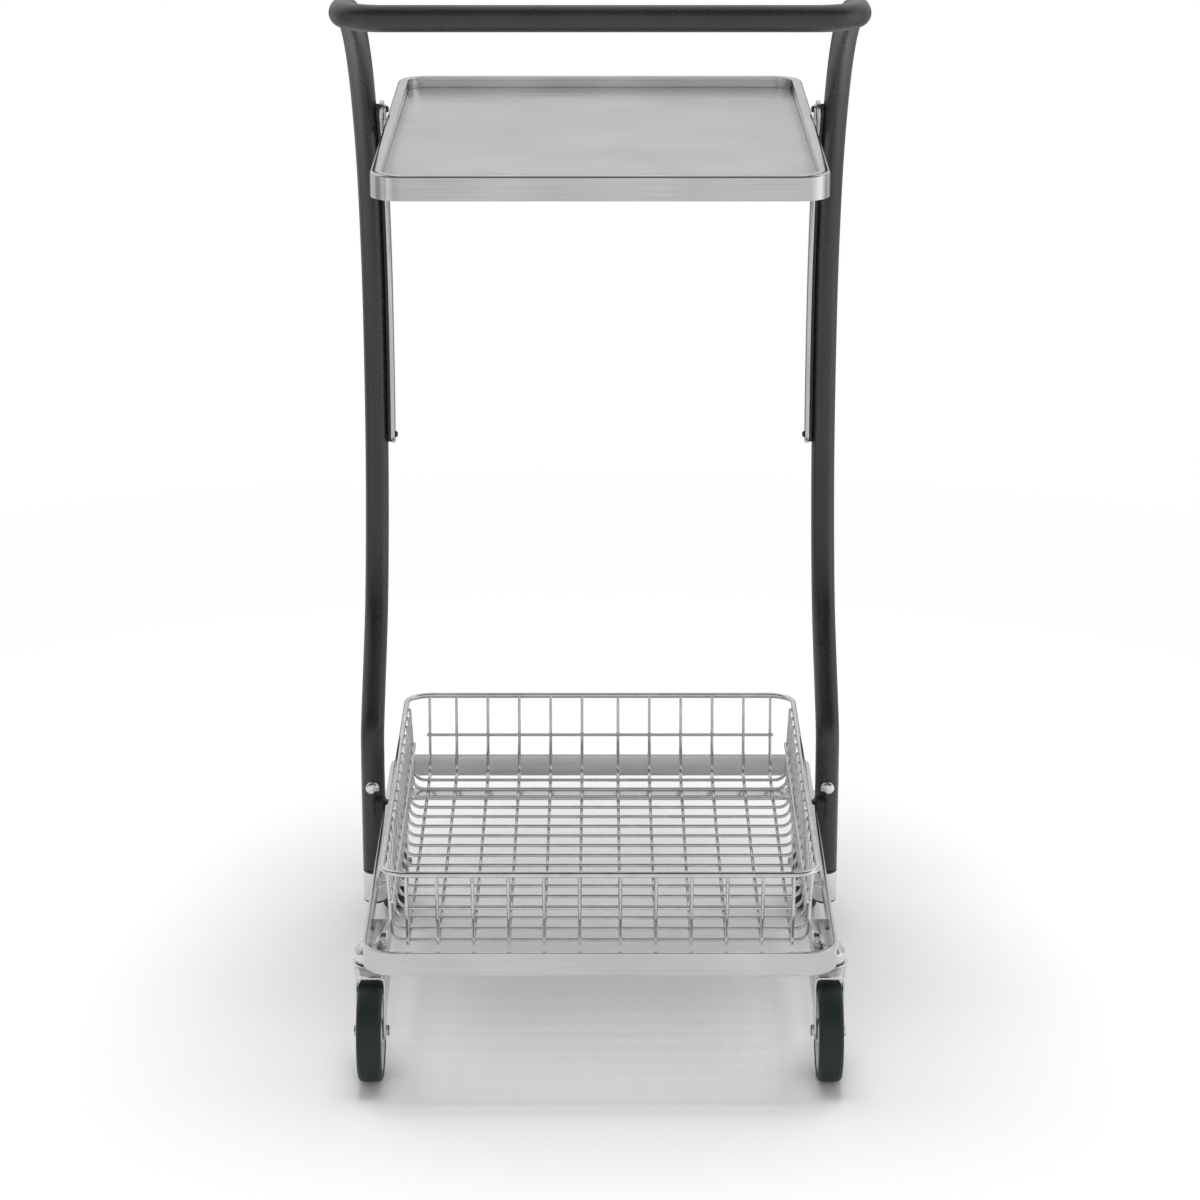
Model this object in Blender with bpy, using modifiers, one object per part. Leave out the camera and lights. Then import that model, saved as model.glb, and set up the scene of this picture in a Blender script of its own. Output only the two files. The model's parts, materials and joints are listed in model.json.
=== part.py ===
"""Luggage trolley with a top tray and a wire basket, in metres, +Z up.

X runs across, the user pushes from -Y towards +Y, and the ground is Z = 0.
The origin is on the ground under the middle of the trolley's bounding box.
"""

import math

import bmesh
import bpy
from mathutils import Matrix, Vector

# --- driving dimensions -------------------------------------------------------------
GAP = 0.0003            # clearance kept between pieces that touch
CHASSIS_Y = -0.0875     # middle of the chassis hoop, so that the bounding box is centred

WHEEL_RADIUS = 0.050
WHEEL_WIDTH = 0.024
WHEEL_X = 0.2236
SWIVEL_Y = CHASSIS_Y - 0.178
TRAIL = 0.0355          # swivel axis to axle
FIXED_Y = CHASSIS_Y + 0.2255

HOOP_HALF_WIDTH = 0.228
HOOP_HALF_LENGTH = 0.2745
HOOP_CORNER = 0.032
HOOP_BOTTOM = 0.134
HOOP_TOP = 0.158
HOOP_THICK = 0.0042

TUBE_RADIUS = 0.0125
TUBE_X = HOOP_HALF_WIDTH + TUBE_RADIUS + GAP
TUBE_FOOT_Y = CHASSIS_Y + 0.1446
TUBE_END_Z = 0.076
SPIGOT_RADIUS = 0.0100
SPIGOT_TOP = 0.200
STUB_END_Z = 0.0420
HANDLE_Y = CHASSIS_Y - 0.1095
HANDLE_Z = 1.0216
HANDLE_CORNER = 0.040

TRAY_HALF_WIDTH = 0.217
TRAY_NEAR_Y = CHASSIS_Y - 0.117
TRAY_FAR_Y = 0.362
TRAY_CORNER = 0.031
TRAY_RIM_Z = 0.876
TRAY_SKIRT_Z = 0.852
TRAY_FLOOR_Z = 0.8645
TRAY_SHEET = 0.0015
TRAY_RIM_WIDTH = 0.0105

TRAY_BRACKET_HALF_LENGTH = 0.100
TRAY_BRACKET_THICK = 0.0025
EAR_THICK = 0.0020

BASKET_RIM_Z = 0.2346
BASKET_RIM_RADIUS = 0.003
BASKET_RIM_X = 0.2083
BASKET_RIM_Y = (CHASSIS_Y - 0.265, CHASSIS_Y + 0.250)
BASKET_RIM_CORNER = 0.025
WIRE_RADIUS = 0.00175
WIRE_BEND = 0.012
LOWER_WIRE_Z = 0.1502   # the wires that run fore and aft
UPPER_WIRE_Z = LOWER_WIRE_Z + 2 * WIRE_RADIUS - 0.0004
MIDDLE_WIRE_Z = 0.194
BASKET_FOOT_Y = (CHASSIS_Y - 0.243, CHASSIS_Y + 0.233)
BASKET_FOOT_X = 0.2005
FORE_AFT_WIRES_X = (0.0195, 0.0535, 0.0875, 0.1215, 0.1555, 0.1845)
CROSS_WIRE_FIRST_Y = CHASSIS_Y - 0.231
CROSS_WIRE_PITCH = 0.0273
CROSS_WIRE_COUNT = 17

SUPPORT_Z = LOWER_WIRE_Z - WIRE_RADIUS - GAP    # what the basket's floor rests on
PEG_Y = CHASSIS_Y - 0.067
PEG_RADIUS = 0.003
CROSS_BAR_Y = (CHASSIS_Y + 0.166, CHASSIS_Y + 0.196)
CROSS_BAR_THICK = 0.003

RAIL_X = (0.2210, 0.2252)
RAIL_WIDTH = 0.022
RAIL_Z = (0.5000, 0.8860)
GASKET_X = (RAIL_X[1] + GAP, HOOP_HALF_WIDTH)
GASKET_WIDTH = 0.009

BRACKET_Z = (0.1310, HOOP_BOTTOM - GAP)
TOP_PLATE_Z = (0.1283, BRACKET_Z[0] - GAP)
PLATE_X = (0.2045, 0.2275)
PLATE_BOLT_X = 0.2125
DOME_BOLT_Z = 0.172
SIDE_BOLT_Z = 0.147
BOLT_RADIUS = 0.003
SCREW_RADIUS = 0.0022
RAIL_SCREW_Z = (0.5096, 0.8795)
NEAR_BOLT_Y = SWIVEL_Y - 0.0225
FAR_BOLT_Y = FIXED_Y - 0.0250

LEG_GAP = WHEEL_WIDTH / 2 + GAP
LEG_THICK = 0.0022
LEG_BEND_Z = 0.070      # where the swivel fork's legs start to flare
CROWN_Z = (0.1060, 0.1085)
CROWN_HALF_WIDTH = 0.0195
RACE_RADIUS = 0.0072
AXLE_RADIUS = 0.004
AXLE_EYE_RADIUS = 0.009
RIM_RADIUS = WHEEL_RADIUS - 0.0095

SIDES = (("left", -1), ("right", 1))

# Side profile of the push frame's uprights: (Y from the hoop's middle, Z), from the foot
# up to the start of the handle's corner bend.
UPRIGHT_PROFILE = (
    (0.1446, 0.100), (0.1446, 0.165), (0.1450, 0.200), (0.1520, 0.2300), (0.1868, 0.265),
    (0.2266, 0.301), (0.2609, 0.3395), (0.2890, 0.395), (0.3090, 0.458),
    (0.3185, 0.517), (0.3213, 0.585), (0.3162, 0.665), (0.3010, 0.732),
    (0.2720, 0.806), (0.2260, 0.873), (0.1670, 0.932), (0.0950, 0.978),
    (0.0150, 1.008), (-0.0450, 1.0200), (HANDLE_Y - CHASSIS_Y + HANDLE_CORNER, HANDLE_Z),
)


# --- scene helpers ---------------------------------------------------------------------
def clear_scene():
    for obj in list(bpy.data.objects):
        bpy.data.objects.remove(obj, do_unlink=True)


def new_collection(name):
    collection = bpy.data.collections.new(name)
    bpy.context.scene.collection.children.link(collection)
    return collection


clear_scene()
PARTS = new_collection("luggage_trolley")
HELPERS = new_collection("cutters")
WIRES = new_collection("basket_wires")


def material(name, colour, roughness, metallic):
    made = bpy.data.materials.new(name)
    made.use_nodes = True
    shader = made.node_tree.nodes["Principled BSDF"]
    shader.inputs["Base Color"].default_value = (*colour, 1.0)
    shader.inputs["Roughness"].default_value = roughness
    shader.inputs["Metallic"].default_value = metallic
    return made


POWDER_COAT = material("powder_coat", (0.055, 0.055, 0.062), 0.5, 0.2)
BRUSHED_STEEL = material("brushed_steel", (0.62, 0.62, 0.61), 0.32, 1.0)
CHROME = material("chrome", (0.72, 0.72, 0.73), 0.12, 1.0)
ZINC = material("zinc", (0.66, 0.67, 0.68), 0.28, 1.0)
BLACK_PLASTIC = material("black_plastic", (0.02, 0.02, 0.02), 0.5, 0.0)
TYRE_RUBBER = material("tyre_rubber", (0.03, 0.05, 0.048), 0.55, 0.0)
WHEEL_CORE = material("wheel_core", (0.62, 0.63, 0.64), 0.4, 0.0)


def add_object(name, data, surface, collection=None):
    obj = bpy.data.objects.new(name, data)
    (collection or PARTS).objects.link(obj)
    if surface:
        data.materials.append(surface)
    return obj


def mesh_object(name, bm, surface, collection=None):
    bmesh.ops.recalc_face_normals(bm, faces=bm.faces)
    data = bpy.data.meshes.new(name)
    bm.to_mesh(data)
    bm.free()
    data.shade_smooth()
    data.set_sharp_from_angle(angle=math.radians(35))
    return add_object(name, data, surface, collection)


def as_mesh(obj, surface):
    """Replace a curve object by its evaluated, welded mesh."""
    graph = bpy.context.evaluated_depsgraph_get()
    bpy.context.view_layer.update()
    data = bpy.data.meshes.new_from_object(obj.evaluated_get(graph))
    name, place = obj.name, obj.matrix_world.copy()
    bpy.data.objects.remove(obj, do_unlink=True)
    bm = bmesh.new()
    bm.from_mesh(data)
    bmesh.ops.remove_doubles(bm, verts=bm.verts, dist=1e-5)
    bpy.data.meshes.remove(data)
    made = mesh_object(name, bm, surface)
    made.matrix_world = place
    return made


def tube(name, points, radius, surface, sides=2, cyclic=False):
    """A round bar along a list of points."""
    curve = bpy.data.curves.new(name, "CURVE")
    curve.dimensions = "3D"
    curve.bevel_depth = radius
    curve.bevel_resolution = sides
    curve.use_fill_caps = not cyclic
    spline = curve.splines.new("POLY")
    spline.points.add(len(points) - 1)
    for point, place in zip(spline.points, points):
        point.co = (*place, 1.0)
    spline.use_cyclic_u = cyclic
    return as_mesh(add_object(name, curve, None), surface)


def plate(name, outlines, low, high, surface, along="Z"):
    """A flat outline, with holes as further outlines, extruded between two levels."""
    curve = bpy.data.curves.new(name, "CURVE")
    curve.dimensions = "2D"
    curve.fill_mode = "BOTH"
    curve.extrude = (high - low) / 2
    for outline in outlines:
        spline = curve.splines.new("POLY")
        spline.points.add(len(outline) - 1)
        for point, (u, v) in zip(spline.points, outline):
            point.co = (u, v, 0.0, 1.0)
        spline.use_cyclic_u = True
    obj = add_object(name, curve, None)
    middle = (low + high) / 2
    if along == "Z":
        obj.matrix_world = Matrix.Translation((0, 0, middle))
    else:                       # the outline is in Y and Z, and the thickness along X
        turn = Matrix(((0, 0, 1, middle), (1, 0, 0, 0), (0, 1, 0, 0), (0, 0, 0, 1)))
        obj.matrix_world = turn
    return as_mesh(obj, surface)


def turned(name, outline, surface, place, axis="Z", ring=False, steps=24):
    """A turned shape: outline of (radius, height) down its outer side."""
    data = bpy.data.meshes.new(name)
    edges = [(i, i + 1) for i in range(len(outline) - 1)]
    if ring:
        edges.append((len(outline) - 1, 0))
    data.from_pydata([(radius, 0, height) for radius, height in outline], edges, [])
    obj = add_object(name, data, surface)
    screw = obj.modifiers.new("Turn", "SCREW")
    screw.steps = steps
    screw.render_steps = steps
    screw.use_merge_vertices = True
    screw.merge_threshold = 1e-5
    obj.location = place
    if axis == "X":
        obj.rotation_euler = (0, math.pi / 2, 0)
    elif axis == "-X":
        obj.rotation_euler = (0, -math.pi / 2, 0)
    elif axis == "-Y":
        obj.rotation_euler = (math.pi / 2, 0, 0)
    elif axis == "Y":
        obj.rotation_euler = (-math.pi / 2, 0, 0)
    return obj


def drill(target, place, axis, radius, length, sides=16):
    """Cut a round hole, centred on a place, along X, Y or Z."""
    bm = bmesh.new()
    bmesh.ops.create_cone(bm, cap_ends=True, segments=sides, radius1=radius, radius2=radius,
                          depth=length)
    cutter = mesh_object(target.name + "_drill", bm, None, HELPERS)
    cutter.location = place
    turns = {"X": (0, math.pi / 2, 0), "Y": (math.pi / 2, 0, 0), "Z": (0, 0, 0)}
    cutter.rotation_euler = turns[axis]
    boolean(target, cutter, "DIFFERENCE")


def boolean(target, other, operation):
    cut = target.modifiers.new(operation.title(), "BOOLEAN")
    cut.object = other
    cut.operation = operation
    cut.solver = "EXACT"
    other.hide_render = True
    other.display_type = "WIRE"
    if other.name not in HELPERS.objects:
        PARTS.objects.unlink(other)
        HELPERS.objects.link(other)


# --- outlines --------------------------------------------------------------------------
def arc(centre, radius, start, end, steps):
    """Points of an arc, angles in degrees, both ends included."""
    angles = [math.radians(start + (end - start) * i / steps) for i in range(steps + 1)]
    return [(centre[0] + radius * math.cos(a), centre[1] + radius * math.sin(a)) for a in angles]


def rounded_rectangle(half_x, low_y, high_y, radius, steps=6):
    """Anticlockwise outline of a rectangle with round corners, centred on X = 0."""
    x, low, high = half_x - radius, low_y + radius, high_y - radius
    return (arc((x, low), radius, -90, 0, steps) + arc((x, high), radius, 0, 90, steps)
            + arc((-x, high), radius, 90, 180, steps) + arc((-x, low), radius, 180, 270, steps))


def slot(centre, length, width, steps=6):
    """Outline of a slot along Y."""
    x, y = centre
    reach = (length - width) / 2
    return (arc((x, y + reach), width / 2, 0, 180, steps)
            + arc((x, y - reach), width / 2, 180, 360, steps))


def smooth(points, per_span):
    """Catmull-Rom curve through the points, as a finer list of points."""
    ends = [points[0] * 2 - points[1]] + list(points) + [points[-1] * 2 - points[-2]]
    found = []
    for before, start, end, after in zip(ends, ends[1:], ends[2:], ends[3:]):
        for i in range(per_span):
            t = i / per_span
            found.append(0.5 * (2 * start + (end - before) * t
                                + (2 * before - 5 * start + 4 * end - after) * t * t
                                + (3 * start - before - 3 * end + after) * t ** 3))
    return found + [points[-1]]


def upright_curve(per_span):
    """Centreline of an upright as (Y, Z) vectors in the trolley's own frame."""
    return smooth([Vector((CHASSIS_Y + y, z)) for y, z in UPRIGHT_PROFILE], per_span)


def upright_y(height):
    """Y of the upright's centreline at a height between its foot and its handle."""
    curve = upright_curve(4)
    for below, above in zip(curve, curve[1:]):
        if below.y <= height <= above.y:
            share = (height - below.y) / (above.y - below.y)
            return below.x + (above.x - below.x) * share
    return curve[0].x


def strip_along_upright(width, low, high):
    """Outline in Y and Z of a strip that follows the upright between two heights."""
    between = [p for p in upright_curve(2) if low + 0.005 < p.y < high - 0.005]
    middle = [Vector((upright_y(low), low))] + between + [Vector((upright_y(high), high))]
    sides = ([], [])
    for before, here, after in zip([middle[0]] + middle, middle, middle[1:] + [middle[-1]]):
        along = (after - before).normalized()
        across = Vector((along.y, -along.x)) * width / 2
        sides[0].append(tuple(here + across))
        sides[1].append(tuple(here - across))
    return sides[0] + sides[1][::-1]


# --- push frame ------------------------------------------------------------------------
def make_push_frame():
    """One tube: foot, upright, corner bend, handle bar and down again."""
    side = [Vector((TUBE_X, CHASSIS_Y + UPRIGHT_PROFILE[0][0], TUBE_END_Z))]
    side += [Vector((TUBE_X, p.x, p.y)) for p in upright_curve(1)]
    bend_x = TUBE_X - HANDLE_CORNER
    bend = arc((bend_x, HANDLE_Y + HANDLE_CORNER), HANDLE_CORNER, 0, -90, 5)[1:]
    side += [Vector((x, y, HANDLE_Z)) for x, y in bend]
    mirrored = [Vector((-p.x, p.y, p.z)) for p in reversed(side)]
    frame = tube("push_frame", side + mirrored, TUBE_RADIUS, POWDER_COAT, sides=2)
    for _, sign in SIDES:
        foot = (sign * TUBE_X, TUBE_FOOT_Y)
        drill(frame, (*foot, TUBE_END_Z + 0.050), "Z", SPIGOT_RADIUS + GAP, 0.160, sides=20)
        drill(frame, (*foot, DOME_BOLT_Z), "Y", BOLT_RADIUS + GAP, 0.040, sides=12)
        inner = (sign * (TUBE_X - 0.010), TUBE_FOOT_Y, SIDE_BOLT_Z)
        drill(frame, inner, "X", BOLT_RADIUS + GAP, 0.012, sides=12)
        for height in RAIL_SCREW_Z:
            place = (sign * (TUBE_X - 0.0105), upright_y(height), height)
            drill(frame, place, "X", SCREW_RADIUS + GAP, 0.010, sides=10)


def make_foot(side, sign):
    """Bright stub under the tube, on a spigot that is pinned inside it."""
    place = (sign * TUBE_X, TUBE_FOOT_Y, 0)
    outline = [(0, SPIGOT_TOP), (SPIGOT_RADIUS, SPIGOT_TOP), (SPIGOT_RADIUS, TUBE_END_Z - GAP),
               (TUBE_RADIUS - 0.001, TUBE_END_Z - GAP), (TUBE_RADIUS, TUBE_END_Z - 0.0015),
               (TUBE_RADIUS, STUB_END_Z), (0.0088, STUB_END_Z), (0.0088, 0.0620), (0, 0.0620)]
    stub = turned("foot_stub_" + side, outline, ZINC, place, steps=12)
    drill(stub, (sign * TUBE_X, TUBE_FOOT_Y, DOME_BOLT_Z), "Y", BOLT_RADIUS + GAP, 0.040, sides=12)
    inner = (sign * (TUBE_X - 0.008), TUBE_FOOT_Y, SIDE_BOLT_Z)
    drill(stub, inner, "X", BOLT_RADIUS + GAP, 0.012, sides=12)
    brim = STUB_END_Z - GAP
    cap = [(0, 0.0610), (0.0080, 0.0610), (0.0085, 0.0600), (0.0085, brim),
           (TUBE_RADIUS, brim), (TUBE_RADIUS - 0.001, 0.0395), (0.0085, 0.0380), (0, 0.0380)]
    turned("foot_cap_" + side, cap, BLACK_PLASTIC, place, steps=12)


def make_dome_bolt(side, sign):
    """Pin bolt fore and aft through the tube and spigot, with a cap nut behind."""
    end = -2 * TUBE_RADIUS - 0.0045
    head = [(0, 0.0050), (0.0030, 0.0046), (0.0055, 0.0032), (0.0072, 0.0010), (0.0072, 0.0),
            (BOLT_RADIUS, 0.0), (BOLT_RADIUS, end), (0, end)]
    near = TUBE_FOOT_Y - TUBE_RADIUS - 0.0004
    turned("dome_bolt_" + side, head, ZINC, (sign * TUBE_X, near, DOME_BOLT_Z), "-Y", steps=12)
    inner = BOLT_RADIUS + GAP
    nut = [(0, 0.0080), (0.0030, 0.0076), (0.0050, 0.0055), (0.0062, 0.0038), (0.0062, 0.0),
           (inner, 0.0), (inner, 0.0050), (0, 0.0050)]
    far = TUBE_FOOT_Y + TUBE_RADIUS + 0.0004
    turned("dome_nut_" + side, nut, ZINC, (sign * TUBE_X, far, DOME_BOLT_Z), "Y", steps=10)


def make_side_bolt(side, sign):
    """Bolt from inside the hoop through the hoop's bar into the tube's foot."""
    reach = HOOP_THICK + 0.010
    outline = [(0, 0.0042), (0.0040, 0.0040), (0.0055, 0.0025), (0.0058, 0.0), (BOLT_RADIUS, 0.0),
               (BOLT_RADIUS, -reach), (0, -reach)]
    inner = sign * (HOOP_HALF_WIDTH - HOOP_THICK - GAP)
    axis = "-X" if sign > 0 else "X"
    turned("side_bolt_" + side, outline, ZINC, (inner, TUBE_FOOT_Y, SIDE_BOLT_Z), axis, steps=10)


def make_saddle(side, sign):
    """Black block in the wedge between the round tube and the flat bar, hooked over the bar."""
    front = TUBE_FOOT_Y - 0.0215
    back = TUBE_FOOT_Y - 0.0030
    low, high = 0.1385, HOOP_TOP + 0.0022
    face = HOOP_HALF_WIDTH + GAP
    lip = HOOP_HALF_WIDTH - HOOP_THICK
    bm = bmesh.new()
    bmesh.ops.create_cube(bm, size=1.0)
    scale = Vector((0.0095, back - front, high - low))
    middle = Vector((sign * (face + scale.x / 2), (front + back) / 2, (low + high) / 2))
    bmesh.ops.scale(bm, vec=scale, verts=bm.verts)
    bmesh.ops.translate(bm, vec=middle, verts=bm.verts)
    saddle = mesh_object("saddle_" + side, bm, BLACK_PLASTIC)
    bm = bmesh.new()
    bmesh.ops.create_cube(bm, size=1.0)
    hook = Vector((face - lip + 0.002, 0.0080, high - HOOP_TOP - GAP))
    bmesh.ops.scale(bm, vec=hook, verts=bm.verts)
    across = sign * (lip + hook.x / 2)
    place = Vector((across, front + hook.y / 2 + 0.0002, high - hook.z / 2 - 0.0001))
    bmesh.ops.translate(bm, vec=place, verts=bm.verts)
    boolean(saddle, mesh_object(saddle.name + "_hook", bm, None), "UNION")
    drill(saddle, (sign * TUBE_X, TUBE_FOOT_Y, HOOP_TOP), "Z", TUBE_RADIUS + GAP, 0.100, sides=24)


# --- chassis ---------------------------------------------------------------------------
def make_hoop():
    """Flat bar bent on edge into a closed rounded rectangle."""
    low, high = CHASSIS_Y - HOOP_HALF_LENGTH, CHASSIS_Y + HOOP_HALF_LENGTH
    outer = rounded_rectangle(HOOP_HALF_WIDTH, low, high, HOOP_CORNER)
    inner = rounded_rectangle(HOOP_HALF_WIDTH - HOOP_THICK, low + HOOP_THICK, high - HOOP_THICK,
                              HOOP_CORNER - HOOP_THICK)
    hoop = plate("chassis_hoop", [outer, inner[::-1]], HOOP_BOTTOM, HOOP_TOP, BRUSHED_STEEL)
    for _, sign in SIDES:
        middle = sign * (HOOP_HALF_WIDTH - HOOP_THICK / 2)
        drill(hoop, (middle, TUBE_FOOT_Y, SIDE_BOLT_Z), "X", BOLT_RADIUS + GAP, 0.020, sides=12)
        drill(hoop, (middle, PEG_Y, SUPPORT_Z - PEG_RADIUS), "X", BOLT_RADIUS + GAP, 0.020, sides=12)


def make_cross_bar():
    """Flat bar across the hoop's far end, on which the basket rests."""
    reach = HOOP_HALF_WIDTH - HOOP_THICK - GAP
    near, far = CROSS_BAR_Y
    outline = [(-reach, near), (reach, near), (reach, far), (-reach, far)]
    plate("far_cross_bar", [outline], SUPPORT_Z - CROSS_BAR_THICK, SUPPORT_Z, BRUSHED_STEEL)


def make_peg(side, sign):
    """Stud through the hoop's side, on which the near half of the basket rests."""
    outline = [(0, 0.0300), (0.0025, 0.0300), (PEG_RADIUS, 0.0295), (PEG_RADIUS, 0.0050), (0.0055, 0.0050),
               (0.0055, 0.0), (BOLT_RADIUS, 0.0), (BOLT_RADIUS, -HOOP_THICK), (0, -HOOP_THICK)]
    inner = sign * (HOOP_HALF_WIDTH - HOOP_THICK - GAP)
    axis = "-X" if sign > 0 else "X"
    place = (inner, PEG_Y, SUPPORT_Z - PEG_RADIUS)
    turned("basket_peg_" + side, outline, ZINC, place, axis, steps=10)


def make_bracket(name, sign, ends, bolt_y, slot_y):
    """Corner plate welded under the hoop's bar, slotted for adjustment."""
    inner, outer = PLATE_X
    low_y, high_y = ends
    outline = (arc((inner + 0.004, high_y - 0.004), 0.004, 90, 180, 3)
               + arc((inner + 0.004, low_y + 0.004), 0.004, 180, 270, 3)
               + [(outer, low_y), (outer, high_y)])
    holes = [slot((PLATE_BOLT_X, slot_y), 0.018, 0.005),
             arc((PLATE_BOLT_X, bolt_y), BOLT_RADIUS + GAP, 0, 345, 11)]
    outlines = [[(sign * x, y) for x, y in line] for line in [outline] + holes]
    plate(name, outlines, *BRACKET_Z, BRUSHED_STEEL)


def make_plate_bolt(name, sign, bolt_y):
    """Bolt up through the caster's top plate and the bracket, with its round nut on top."""
    top = BRACKET_Z[1] + GAP
    bottom = TOP_PLATE_Z[0] - GAP
    outline = [(0, top + 0.0060), (0.0028, top + 0.0056), (0.0048, top + 0.0040),
               (0.0056, top + 0.0015), (0.0056, top), (BOLT_RADIUS, top), (BOLT_RADIUS, bottom),
               (0.0050, bottom), (0.0050, bottom - 0.0025), (0, bottom - 0.0025)]
    turned(name, outline, ZINC, (sign * PLATE_BOLT_X, bolt_y, 0), steps=10)


# --- casters ---------------------------------------------------------------------------
def leg_plate(name, sign, outline, top_flare):
    """One fork leg: an outline in Y and Z, standing on X and flared above the wheel's hub."""
    leg = plate(name, [outline], LEG_GAP, LEG_GAP + LEG_THICK, ZINC, along="X")
    bm = bmesh.new()
    bm.from_mesh(leg.data)
    bm.transform(leg.matrix_world)
    everything = list(bm.verts) + list(bm.edges) + list(bm.faces)
    bmesh.ops.bisect_plane(bm, geom=everything, plane_co=(0, 0, LEG_BEND_Z), plane_no=(0, 0, 1))
    height = max(v.co.z for v in bm.verts) - LEG_BEND_Z
    for vert in bm.verts:
        rise = max(0.0, vert.co.z - LEG_BEND_Z) / height
        vert.co.x = (vert.co.x + top_flare * rise) * sign
    bpy.data.objects.remove(leg, do_unlink=True)
    return mesh_object(name, bm, ZINC)


def make_swivel_fork(name, place):
    """Swivelling fork: a crown plate with a round rear end and two flared legs."""
    nose = -TRAIL - 0.004
    round_end = arc((0, 0), CROWN_HALF_WIDTH, 0, 180, 10)
    crown = round_end + [(-CROWN_HALF_WIDTH, nose), (CROWN_HALF_WIDTH, nose)]
    bore = arc((0, 0), RACE_RADIUS + GAP, 0, 345, 15)
    fork = plate(name, [crown, bore], *CROWN_Z, ZINC)
    eye = arc((-TRAIL, WHEEL_RADIUS), AXLE_EYE_RADIUS, 170, 330, 8)
    root_y, root_z = 0.006, 0.090
    eye_y = AXLE_EYE_RADIUS - TRAIL
    back = []
    for turn in (25, 45, 65, 90):
        back.append((eye_y + (root_y - eye_y) * math.sin(math.radians(turn)),
                     WHEEL_RADIUS + (root_z - WHEEL_RADIUS) * turn / 90))
    outline = [(root_y, CROWN_Z[0] + 0.001), (nose, CROWN_Z[0] + 0.001)] + eye + back
    flare = CROWN_HALF_WIDTH - LEG_GAP - LEG_THICK
    for side in (-1, 1):
        leg = leg_plate(f"{name}_leg{side}", side, outline, flare)
        boolean(fork, leg, "UNION")
        leg.parent = fork
    drill(fork, (0, -TRAIL, WHEEL_RADIUS), "X", AXLE_RADIUS + GAP, 0.060)
    fork.modifiers[-1].object.parent = fork
    fork.location = (place[0], place[1], fork.location.z)
    for helper in fork.children:
        helper.location.z -= fork.location.z


def make_swivel_head(name, sign, place):
    """Fixed head: top plate, domed ball-race housing and the rivet that carries the crown."""
    low, high = TOP_PLATE_Z
    outline = [(0, low + 0.001), (0.0080, low + 0.001), (0.0120, low - 0.0015), (0.0160, low - 0.0055),
               (0.0176, 0.1195), (0.0176, 0.1120), (0.0165, CROWN_Z[1] + 0.0008),
               (RACE_RADIUS, CROWN_Z[1] + 0.0008), (RACE_RADIUS, CROWN_Z[0] - GAP),
               (0.0105, CROWN_Z[0] - GAP), (0.0105, 0.1032), (0.0085, 0.1020), (0, 0.1020)]
    head = turned(name, outline, ZINC, place, steps=16)
    inner, outer = PLATE_X
    corners = ((outer, 1), (inner, 1), (inner, -1), (outer, -1))
    top = [(sign * x, place[1] + 0.030 * end) for x, end in corners]
    hole = arc((sign * PLATE_BOLT_X, NEAR_BOLT_Y), BOLT_RADIUS + GAP, 0, 345, 11)
    boolean(head, plate(name + "_plate", [top, hole], low, high, None), "UNION")


def make_fixed_fork(name, sign, place):
    """Rigid fork of the far casters: top plate and two straight legs."""
    low, high = TOP_PLATE_Z
    inner, outer = PLATE_X
    corners = ((outer, 0.020), (inner, 0.020), (inner, -0.035), (outer, -0.035))
    top = [(sign * x, place[1] + y) for x, y in corners]
    hole = arc((sign * PLATE_BOLT_X, FAR_BOLT_Y), BOLT_RADIUS + GAP, 0, 345, 11)
    fork = plate(name, [top, hole], low, high, ZINC)
    deck_half = LEG_GAP + LEG_THICK
    reach = 0.019
    deck = [(place[0] + x * deck_half, place[1] + y * reach)
            for x, y in ((1, 1), (-1, 1), (-1, -1), (1, -1))]
    boolean(fork, plate(name + "_deck", [deck], low - 0.0025, low + 0.0005, None), "UNION")
    eye = arc((0, WHEEL_RADIUS), AXLE_EYE_RADIUS, 195, 345, 8)
    outline = [(reach, low - 0.001), (-reach, low - 0.001)] + eye
    for side in (-1, 1):
        leg = leg_plate(f"{name}_leg{side}", side, outline, 0.0)
        leg.location = (place[0], place[1], 0)
        boolean(fork, leg, "UNION")
    drill(fork, (place[0], place[1], WHEEL_RADIUS), "X", AXLE_RADIUS + GAP, 0.060)


def make_axle(name, nut_name, sign, place):
    """Axle bolt with its head outboard, and its nut inboard."""
    half = LEG_GAP + LEG_THICK + GAP
    end = half + 0.0036
    bolt = [(0, half + 0.0018), (0.0052, half + 0.0018), (0.0060, half + 0.0010), (0.0060, half),
            (AXLE_RADIUS, half), (AXLE_RADIUS, -end), (0, -end)]
    outboard = "X" if sign > 0 else "-X"
    turned(name, bolt, ZINC, place, outboard, steps=10)
    bore = AXLE_RADIUS + GAP
    nut = [(bore, -half), (0.0064, -half), (0.0064, -half - 0.0024), (0.0056, -half - 0.0030),
           (bore, -half - 0.0030)]
    turned(nut_name, nut, ZINC, place, outboard, ring=True, steps=12)


def make_wheel(name, tyre_name, place):
    """Moulded wheel core with a hub and web, and the tyre around it."""
    half, rim = WHEEL_WIDTH / 2, RIM_RADIUS
    bore = AXLE_RADIUS + GAP
    hub_end, rim_end, web = half - GAP, half - 0.0012, 0.0040
    core = [(bore, hub_end), (0.0110, hub_end), (0.0120, web), (rim - 0.0055, web),
            (rim - 0.0040, rim_end), (rim, rim_end), (rim, -rim_end), (rim - 0.0040, -rim_end),
            (rim - 0.0055, -web), (0.0120, -web), (0.0110, -hub_end), (bore, -hub_end)]
    turned(name, core, WHEEL_CORE, place, "X", ring=True, steps=20)
    inside = rim + GAP
    outer = WHEEL_RADIUS
    tyre = [(inside, half), (outer - 0.0036, half), (outer, half - 0.0036),
            (outer, -half + 0.0036), (outer - 0.0036, -half), (inside, -half)]
    turned(tyre_name, tyre, TYRE_RUBBER, place, "X", ring=True, steps=28)


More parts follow.
